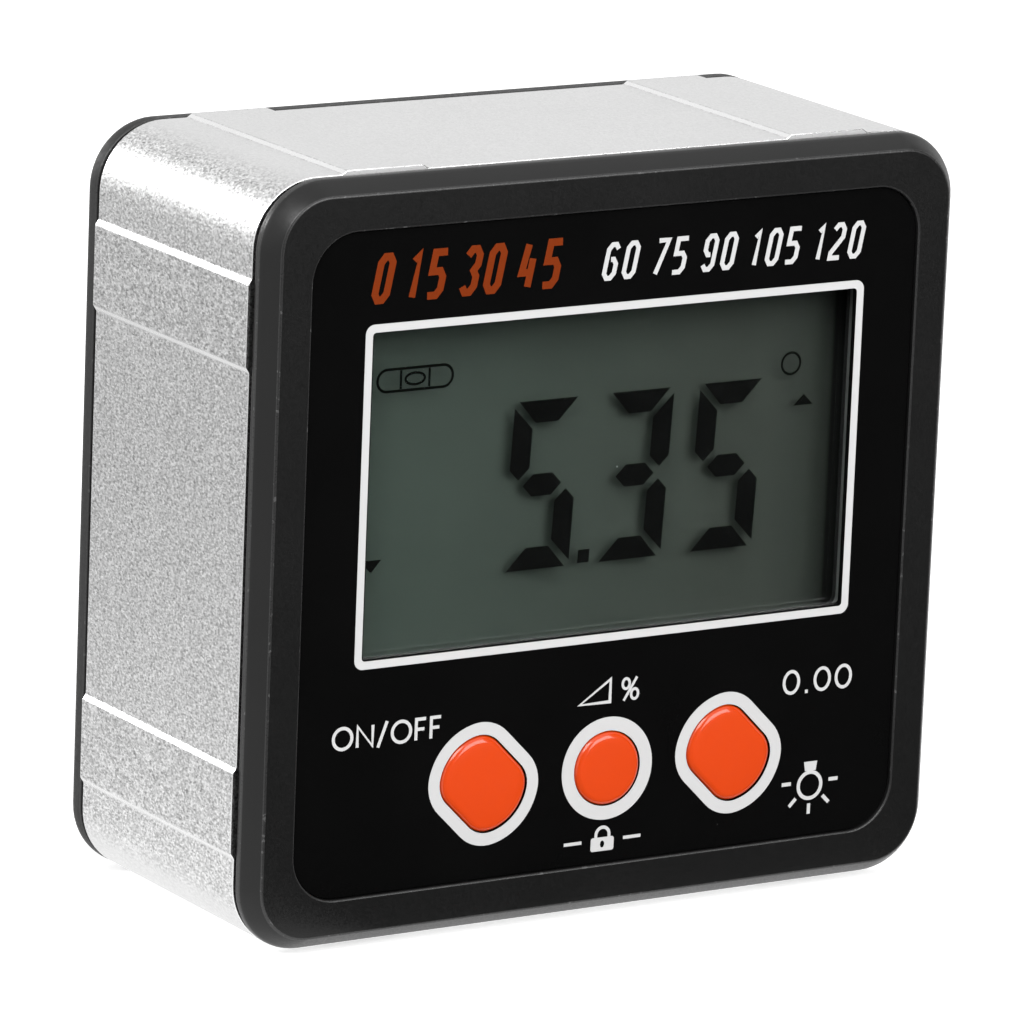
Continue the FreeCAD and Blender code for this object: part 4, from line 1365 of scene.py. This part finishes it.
@dataclass
class PanelPrint:
    """Everything printed on the overlay: the border, the rings, the scale and the signs."""

    caps: list[Cap]
    border_centre: Place = (0.105, 5.26)
    border_size: Place = (44.75, 26.6)
    border_line: float = 0.63
    border_corner: float = 0.75
    ring_gap: float = 0.03
    low_numbers: Place = (-22.06, -4.9)
    low_numbers_base: float = 20.1
    high_numbers: Place = (-1.75, 22.5)
    high_numbers_base: float = 20.3
    sign_height: float = 1.9
    sign_line: float = 0.26
    slope_corners: tuple[Place, ...] = ((-2.0, -12.9), (0.75, -12.9), (0.75, -11.1))
    lock_centre: Place = (0.6, -24.25)
    bow_radius: float = 0.6
    lamp_centre: Place = (19.7, -21.7)
    lamp_radius: float = 1.06
    ray_rise: float = 0.29
    ray_radius: float = 2.2

    def build(self, materials: Materials) -> None:
        """Make each print as a thin plate on the overlay."""
        self.materials = materials
        dress("front_overlay", materials["overlay_print"])
        self._print("display_border", [self._border()])
        rings = [[cap.placed_outline(cap.ring), cap.placed_outline(self.ring_gap)] for cap in self.caps]
        self._print("button_rings", rings)
        self._scale()
        self._words()
        self._slope_sign()
        self._lock_sign()
        self._lamp_sign()

    def _print(self, name: str, groups: list[list[Outline]], finish: str = "print_white") -> None:
        """Print plates on the overlay in one colour."""
        piece = plates(name, groups, FACE_Y - PRINT_THICKNESS, PRINT_THICKNESS)
        settle(piece, "case", self.materials[finish])

    def _border(self) -> list[Outline]:
        """Return the white frame round the display."""
        width, height = self.border_size
        outer = rounded_box(self.border_centre, width, height, self.border_corner)
        cut = 2 * self.border_line
        inner = rounded_box(self.border_centre, width - cut, height - cut, 0.3)
        return [outer, inner]

    def _scale(self) -> None:
        """Print the row of plain angle numbers, the first ones bold and orange."""
        digits = octagonal_digits()
        bold = Lettering(digits, height=3.85, width=1.02, line=0.58, space=0.3, slant=0.20)
        light = Lettering(digits, height=2.95, width=0.88, line=0.38, space=0.4, slant=0.20)
        low = bold.write("0 15 30 45", *self.low_numbers, self.low_numbers_base)
        high = light.write("60 75 90 105 120", *self.high_numbers, self.high_numbers_base)
        self._print("scale_numbers_low", low, "print_orange")
        self._print("scale_numbers_high", high)

    def _words(self) -> None:
        """Print ON/OFF beside the power button and the zero reading beside the zero button."""
        signs = Lettering(plain_signs(), self.sign_height, width=1.45, line=self.sign_line)
        self._print("on_off_sign", signs.write("ON/OFF", left=-24.0, right=-14.3, base=-14.2))
        reading = Lettering(plain_signs(), self.sign_height + 0.1, width=1.75, line=self.sign_line)
        self._print("zero_reading", reading.write("0.00", left=16.7, right=23.2, base=-14.15))

    def _slope_sign(self) -> None:
        """Print a slope and a per cent sign above the hold button."""
        slope = stroke(list(self.slope_corners), self.sign_line, closed=True)
        percent = Lettering(plain_signs(), self.sign_height, width=1.25, line=0.22)
        self._print("slope_sign", [slope] + percent.write("%", left=1.75, right=3.7, base=-13.0))

    def _lock_sign(self) -> None:
        """Print a closed padlock between two dashes below the hold button."""
        x, z = self.lock_centre
        reach = self.bow_radius
        body = rounded_box(self.lock_centre, width=2.1, height=1.1, radius=0.2)
        keyhole = ellipse(self.lock_centre, half_x=0.2, half_z=0.28, steps=20)
        bow = [(x - reach, z + 0.56)] + arc((x, z + 0.75), reach, 180, 0, 16) + [(x + reach, z + 0.56)]
        dashes = [stroke([(x + side * 1.9, z + 0.3), (x + side * 3.5, z + 0.3)], self.sign_line)
                  for side in (-1, 1)]
        self._print("lock_sign", [[body, keyhole], stroke(bow, self.sign_line)] + dashes)

    def _lamp_sign(self) -> None:
        """Print the lamp: a bulb with its cap, and rays that a node tree sets round it."""
        x, z = self.lamp_centre
        bulb = stroke(ellipse(self.lamp_centre, self.lamp_radius, self.lamp_radius), 0.3, closed=True)
        foot = z + self.lamp_radius + 0.12
        cap = [(x - 0.5, foot), (x + 0.5, foot), (x + 0.62, foot + 0.75), (x - 0.62, foot + 0.75)]
        self._print("lamp_sign", [bulb, [cap]])
        middle = MIDDLE_Z + z + self.ray_rise
        seat = Vector((x, FACE_Y - PRINT_THICKNESS / 2, middle)) * MM
        size = (0.85 * MM, 0.3 * MM, PRINT_THICKNESS * MM)
        values = {"Radius": self.ray_radius * MM, "Rays": 5, "Size": size,
                  "Material": self.materials["print_white"]}
        rays = grown("lamp_rays", self._ray_tree(), [seat], values)
        settle(rays, "case", self.materials["print_white"])

    @staticmethod
    def _ray_tree() -> Nodes:
        """Return the tree that sets bars along the lower half of a circle, each pointing outwards."""
        inputs = {"Radius": "NodeSocketFloat", "Rays": "NodeSocketInt", "Size": "NodeSocketVector"}
        nodes, ends = geometry_tree("ray_fan", inputs)
        bar = nodes.add("GeometryNodeMeshCube", {"Size": ends.outputs["Size"]})
        out = nodes.add("ShaderNodeCombineXYZ", {"X": ends.outputs["Radius"]})
        outer_bar = nodes.moved(bar.outputs[0], out.outputs[0])
        last = nodes.maths("SUBTRACT", ends.outputs["Rays"], 1.0)
        step = nodes.maths("DIVIDE", math.pi, last)
        spots = nodes.add("GeometryNodeMeshLine", {"Count": ends.outputs["Rays"], "Offset": (0, 0, 0)})
        order = nodes.add("GeometryNodeInputIndex")
        turned = nodes.maths("ADD", nodes.maths("MULTIPLY", order.outputs[0], step), math.pi)
        spin = nodes.add("ShaderNodeCombineXYZ", {"Z": turned})
        fan = nodes.instances(spots.outputs[0], outer_bar, spin.outputs[0])
        close_tree(nodes, nodes.instances(ends.outputs["Seats"], fan, UPRIGHT), ends)
        return nodes


@dataclass
class Display:
    """The liquid crystal cell: a clear front ply with its segments, and the reflector behind."""

    digit_width: float = 6.0
    digit_height: float = 13.25
    segment: float = 1.75
    inset: float = 0.37
    side_cut: float = 0.46
    inner_foot: float = 1.38
    tip_foot: float = 0.48
    outer_foot: float = 1.3
    bar_reach: float = 1.73
    slant: float = 0.05
    pitch: float = 8.37
    first_left: float = -8.2
    base: float = -2.32
    ply: float = 1.0
    film: float = 0.06
    degree_centre: Place = (17.49, 11.88)
    degree_radius: float = 0.85
    vial_centre: Place = (-16.51, 13.58)
    vial_mark: float = 1.25

    def build(self, materials: Materials) -> None:
        """Make the reflector, the ply, the segments and the small signs."""
        self.materials = materials
        dress("display_window", materials["clear_window"])
        self._plies()
        self._digits()
        self._signs()

    def _plies(self) -> None:
        """Split the cell into its clear front ply and the reflector behind."""
        low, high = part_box("display_glass")
        centre = ((low.x + high.x) / 2 / MM, (low.z + high.z) / 2 / MM - MIDDLE_Z)
        width = (high.x - low.x) / MM
        height = (high.z - low.z) / MM
        sheet = rounded_box(centre, width, height, 0.05, 2)
        front = plate("cell_front_ply", [sheet], CELL_FACE_Y, self.ply)
        settle(front, "case", self.materials["cell_glass"])
        back_y = CELL_FACE_Y + self.ply + 0.02
        short = rounded_box(centre, width, height - 3.8, 0.05, 2)
        reflector = plate("cell_reflector", [sheet], back_y, 0.08)
        body = plate("cell_body", [short], back_y + 0.08, CELL_BACK_Y - back_y - 0.08)
        whole = joined("display_reflector", [reflector, body])
        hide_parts("display_glass")
        settle(whole, "case", self.materials["display_cell"])

    def _show(self, name: str, groups: list[list[Outline]]) -> None:
        """Set dark shapes in the front ply, close behind its face."""
        piece = plates(name, groups, CELL_FACE_Y + self.film, 0.01)
        settle(piece, "case", self.materials["segment_black"])

    def _segments(self) -> dict[str, Outline]:
        """Return the seven segments of an upright digit, from its lower left corner."""
        wide = self.digit_width
        tall = self.digit_height
        thick = self.segment
        gap = self.inset
        middle = tall / 2
        taper = thick * 0.93
        top = [(gap, tall), (wide - gap, tall),
               (wide - gap - taper, tall - thick), (gap + taper, tall - thick)]
        half = thick / 2
        bar_ends = ((-1, 0), (-0.5, 1), (0.5, 1), (1, 0), (0.5, -1), (-0.5, -1))
        bar = [(wide / 2 + across * self.bar_reach, middle + up * half) for across, up in bar_ends]
        upper_left = [(0, tall - self.side_cut), (thick, tall - self.side_cut - thick),
                      (thick, middle + self.inner_foot), (half - 0.05, middle + self.tip_foot),
                      (0, middle + self.outer_foot)]

        def flipped(outline: Outline) -> Outline:
            """Return an outline turned upside down."""
            return [(x, tall - z) for x, z in outline]

        def mirrored(outline: Outline) -> Outline:
            """Return an outline with left and right exchanged."""
            return [(wide - x, z) for x, z in outline]

        return {
            "top": top,
            "bar": bar,
            "bottom": flipped(top),
            "upper_left": upper_left,
            "lower_left": flipped(upper_left),
            "upper_right": mirrored(upper_left),
            "lower_right": mirrored(flipped(upper_left)),
        }

    def _digits(self) -> None:
        """Show 5.35 in seven-segment digits."""
        segments = self._segments()
        five = ("top", "upper_left", "bar", "lower_right", "bottom")
        three = ("top", "upper_right", "bar", "lower_right", "bottom")
        groups = []
        for index, lit in enumerate((five, three, five)):
            left = self.first_left + index * self.pitch
            for name in lit:
                leaned = [(left + x + self.slant * z, self.base + z) for x, z in segments[name]]
                groups.append([leaned])
        point_left = self.first_left + self.digit_width + 0.8
        point = [(0.0, 0.1), (1.04, 0.1), (1.09, 1.14), (0.05, 1.14)]
        groups.append([[(point_left + x, self.base + z) for x, z in point]])
        self._show("reading_segments", groups)

    def _signs(self) -> None:
        """Show the degree ring, the two arrows and a vial with its bubble."""
        degree = stroke(ellipse(self.degree_centre, self.degree_radius, self.degree_radius), 0.2, closed=True)
        up_arrow = [(17.89, 8.48), (19.69, 8.48), (18.79, 9.36)]
        down_arrow = [(-20.81, -0.22), (-18.91, -0.22), (-19.81, -1.22)]
        vial = stroke(rounded_box(self.vial_centre, 6.6, 1.7, 0.84), 0.22, closed=True)
        bubble = stroke(ellipse(self.vial_centre, 0.85, 0.45, 28), 0.2, closed=True)
        marks = []
        for side in (-1, 1):
            x = self.vial_centre[0] + side * self.vial_mark
            marks.append(stroke([(x, self.vial_centre[1] - 0.72), (x, self.vial_centre[1] + 0.72)], 0.2))
        self._show("small_signs", [degree, [up_arrow], [down_arrow], vial, bubble] + marks)


class ScrewTree:
    """The node tree that makes a cross-recessed screw on each seat, with its head towards +Y."""

    TWIST = 0.4

    def __init__(self) -> None:
        """Build the tree once."""
        sizes = ("Head Radius", "Head Height", "Shank Radius", "Shank Length", "Recess Span",
                 "Recess Width", "Recess Depth")
        nodes, ends = geometry_tree("cross_screw", {name: "NodeSocketFloat" for name in sizes})
        self.nodes = nodes
        size = ends.outputs
        head = self._rod(size["Head Radius"], size["Head Height"], 40)
        head_up = self._raised(head, nodes.maths("MULTIPLY", size["Head Height"], 0.5))
        bars = []
        arms = (("Recess Span", "Recess Width", 2.0), ("Recess Width", "Recess Span", 1.8))
        for long_side, short_side, depths in arms:
            deep = nodes.maths("MULTIPLY", size["Recess Depth"], depths)
            spans = {"X": size[long_side], "Y": size[short_side], "Z": deep}
            shape = nodes.add("ShaderNodeCombineXYZ", spans)
            bar = nodes.add("GeometryNodeMeshCube", {"Size": shape.outputs[0]})
            bars.append(self._raised(bar.outputs[0], size["Head Height"]))
        cut_inputs = {"Mesh 1": head_up, "Mesh 2": bars[0]}
        slotted = nodes.add("GeometryNodeMeshBoolean", cut_inputs, operation="DIFFERENCE")
        cross_inputs = {"Mesh 1": slotted.outputs[0], "Mesh 2": bars[1]}
        cut = nodes.add("GeometryNodeMeshBoolean", cross_inputs, operation="DIFFERENCE")
        shank = self._rod(size["Shank Radius"], size["Shank Length"], 24)
        shank_down = self._raised(shank, nodes.maths("MULTIPLY", size["Shank Length"], -0.5))
        whole = nodes.add("GeometryNodeJoinGeometry")
        nodes.link(cut.outputs[0], whole.inputs[0])
        nodes.link(shank_down, whole.inputs[0])
        towards_back = (-math.pi / 2, self.TWIST, 0.0)
        close_tree(nodes, nodes.instances(size["Seats"], whole.outputs[0], towards_back), ends)

    def _rod(self, radius: bpy.types.NodeSocket, length: bpy.types.NodeSocket, sides: int) -> object:
        """Return a cylinder's mesh output."""
        inputs = {"Vertices": sides, "Radius": radius, "Depth": length}
        return self.nodes.add("GeometryNodeMeshCylinder", inputs).outputs[0]

    def _raised(self, mesh: bpy.types.NodeSocket, height: bpy.types.NodeSocket) -> bpy.types.NodeSocket:
        """Return a mesh moved along its axis."""
        return self.nodes.moved(mesh, self.nodes.add("ShaderNodeCombineXYZ", {"Z": height}).outputs[0])


@dataclass
class Screws:
    """The case screws and the board screws. Their cross recesses are shares of the head's size."""

    case_head_radius: float = 1.9
    case_head_height: float = 1.3
    case_shank_radius: float = 1.0
    board_head_radius: float = 1.5
    board_head_height: float = 1.0
    board_shank_radius: float = 0.8
    recess_span: float = 1.25
    recess_width: float = 0.34
    recess_depth: float = 0.55

    def build(self, materials: Materials) -> None:
        """Make both sets where the CAD screws are."""
        tree = ScrewTree()
        steel = materials["screw_steel"]
        sets = (
            ("case_screws", self.case_head_radius, self.case_head_height, self.case_shank_radius),
            ("board_screws", self.board_head_radius, self.board_head_height, self.board_shank_radius),
        )
        for node, head_radius, head_height, shank_radius in sets:
            boxes = solid_boxes(node)
            seats = [Vector(((low.x + high.x) / 2, high.y - head_height * MM, (low.z + high.z) / 2))
                     for low, high in boxes]
            shank = (boxes[0][1].y - boxes[0][0].y) - head_height * MM
            values = {
                "Head Radius": head_radius * MM,
                "Head Height": head_height * MM,
                "Shank Radius": shank_radius * MM,
                "Shank Length": shank,
                "Recess Span": self.recess_span * head_radius * MM,
                "Recess Width": self.recess_width * head_radius * MM,
                "Recess Depth": self.recess_depth * head_height * MM,
                "Material": steel,
            }
            piece = grown(f"cross_{node}", tree.nodes, seats, values)
            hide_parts(node)
            settle(piece, "case", steel)


@dataclass
class RearMoulding:
    """The rear cover and the sliding battery door."""

    edge: float = 0.12

    def build(self, materials: Materials) -> None:
        """Soften both mouldings, with a coarser grain than the bezel has."""
        # Their edges take the paler finish, partly wear and partly a painted highlight.
        finishes = [materials["black_case_texture"], materials["black_case_edge"]]
        soften("rear_cover", "rear_moulding", self.edge, finishes)
        soften("battery_door", "door_moulding", self.edge, finishes)


@dataclass
class Inside:
    """The board, its components, the cells and their contacts."""

    leg_pitch: float = 0.8
    leg_size: tuple[float, float, float] = (0.3, 0.7, 0.25)
    end_cap: tuple[float, float, float] = (0.36, 0.86, 0.86)

    def build(self, materials: Materials) -> None:
        """Dress or soften every inner piece."""
        self.materials = materials
        plain = (
            ("display_holder", "holder_black", 0.08),
            ("display_backlight", "diffuser_white", 0.1),
            ("zebra_strips", "connector_rubber", 0.05),
            ("circuit_board", "board_green", 0.04),
            ("controller_chip", "chip_black", 0.08),
            ("tilt_sensor_chip", "chip_black", 0.08),
            ("crystal", "crystal_can", 0.12),
            ("chip_capacitors", "capacitor_tan", 0.05),
            ("switch_bodies", "switch_case", 0.08),
            ("power_switch_plunger", "plunger_white", 0.15),
            ("hold_switch_plunger", "plunger_white", 0.15),
            ("zero_switch_plunger", "plunger_white", 0.15),
            ("bridge_contact", "contact_nickel", 0.04),
            ("positive_terminal", "contact_nickel", 0.04),
            ("negative_terminal", "contact_nickel", 0.04),
        )
        for node, slot, width in plain:
            soften(node, f"{node}_body", width, [materials[slot]])
        for node in ("battery_upper", "battery_lower"):
            jacket = materials[node.replace("battery", "cell_jacket")]
            soften(node, f"{node}_cell", 0.12, [jacket])
        self._legs("controller_chip", 10)
        self._legs("tilt_sensor_chip", 3)
        self._end_caps()

    def _legs(self, node: str, count: int) -> None:
        """Set a row of legs on each side of a chip.

        Args:
            node: The chip's node.
            count: Legs on one side.
        """
        low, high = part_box(node)
        x, z = centre_of(node)
        thickness = self.leg_size[2]
        seat = Vector((x * MM, low.y + thickness / 2 * MM, (z + MIDDLE_Z) * MM))
        values = {
            "Half Width": (high.x - low.x) / 2,
            "Pitch": self.leg_pitch * MM,
            "Count": count,
            "Leg": tuple(side * MM for side in self.leg_size),
            "Material": self.materials["solder_tin"],
        }
        legs = grown(f"{node}_legs", self._leg_tree(), [seat], values)
        settle(legs, "case", self.materials["solder_tin"])

    @staticmethod
    def _leg_tree() -> Nodes:
        """Return the tree that sets rows of legs on the four sides of a square chip."""
        inputs = {"Half Width": "NodeSocketFloat", "Pitch": "NodeSocketFloat", "Count": "NodeSocketInt",
                  "Leg": "NodeSocketVector"}
        nodes, ends = geometry_tree("chip_legs", inputs)
        size = ends.outputs
        leg = nodes.add("GeometryNodeMeshCube", {"Size": size["Leg"]})
        gaps = nodes.maths("SUBTRACT", size["Count"], 1.0)
        start_x = nodes.maths("MULTIPLY", nodes.maths("MULTIPLY", gaps, size["Pitch"]), -0.5)
        start_y = nodes.maths("MULTIPLY", size["Half Width"], -1.03)
        start = nodes.add("ShaderNodeCombineXYZ", {"X": start_x, "Y": start_y})
        step = nodes.add("ShaderNodeCombineXYZ", {"X": size["Pitch"]})
        line_inputs = {"Count": size["Count"], "Start Location": start.outputs[0], "Offset": step.outputs[0]}
        line = nodes.add("GeometryNodeMeshLine", line_inputs)
        row = nodes.instances(line.outputs[0], leg.outputs[0])
        sides = nodes.add("GeometryNodeMeshLine", {"Count": 4, "Offset": (0, 0, 0)})
        order = nodes.add("GeometryNodeInputIndex")
        quarter_turns = nodes.maths("MULTIPLY", order.outputs[0], math.pi / 2)
        spin = nodes.add("ShaderNodeCombineXYZ", {"Z": quarter_turns})
        ring = nodes.instances(sides.outputs[0], row, spin.outputs[0])
        close_tree(nodes, nodes.instances(size["Seats"], ring, UPRIGHT), ends)
        return nodes

    def _end_caps(self) -> None:
        """Set a tinned cap on both ends of each capacitor."""
        seats = []
        for low, high in solid_boxes("chip_capacitors"):
            centre = (low + high) / 2
            for x in (low.x + 0.15 * MM, high.x - 0.15 * MM):
                seats.append(Vector((x, centre.y, centre.z)))
        nodes, ends = geometry_tree("end_caps", {"Cap": "NodeSocketVector"})
        cap = nodes.add("GeometryNodeMeshCube", {"Size": ends.outputs["Cap"]})
        close_tree(nodes, nodes.instances(ends.outputs["Seats"], cap.outputs[0]), ends)
        values = {"Cap": tuple(side * MM for side in self.end_cap), "Material": self.materials["solder_tin"]}
        caps = grown("capacitor_ends", nodes, seats, values)
        settle(caps, "case", self.materials["solder_tin"])


def main() -> None:
    """Build the scene in order."""
    logging.basicConfig(level=logging.INFO, format="%(name)s: %(message)s")
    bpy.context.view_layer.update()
    PhotoCamera().place()
    Studio().build()
    materials = make_finishes(Effects())
    caps = [
        Cap("power", CapShape.FLATTED),
        Cap("hold", CapShape.ROUND, ring=1.13),
        Cap("zero", CapShape.FLATTED),
    ]
    for cap in caps:
        cap.build(materials)
    for part in (Housing(), FrontMoulding(), PanelPrint(caps), Display(), Screws(), RearMoulding(), Inside()):
        part.build(materials)


if __name__ == "__main__":
    main()
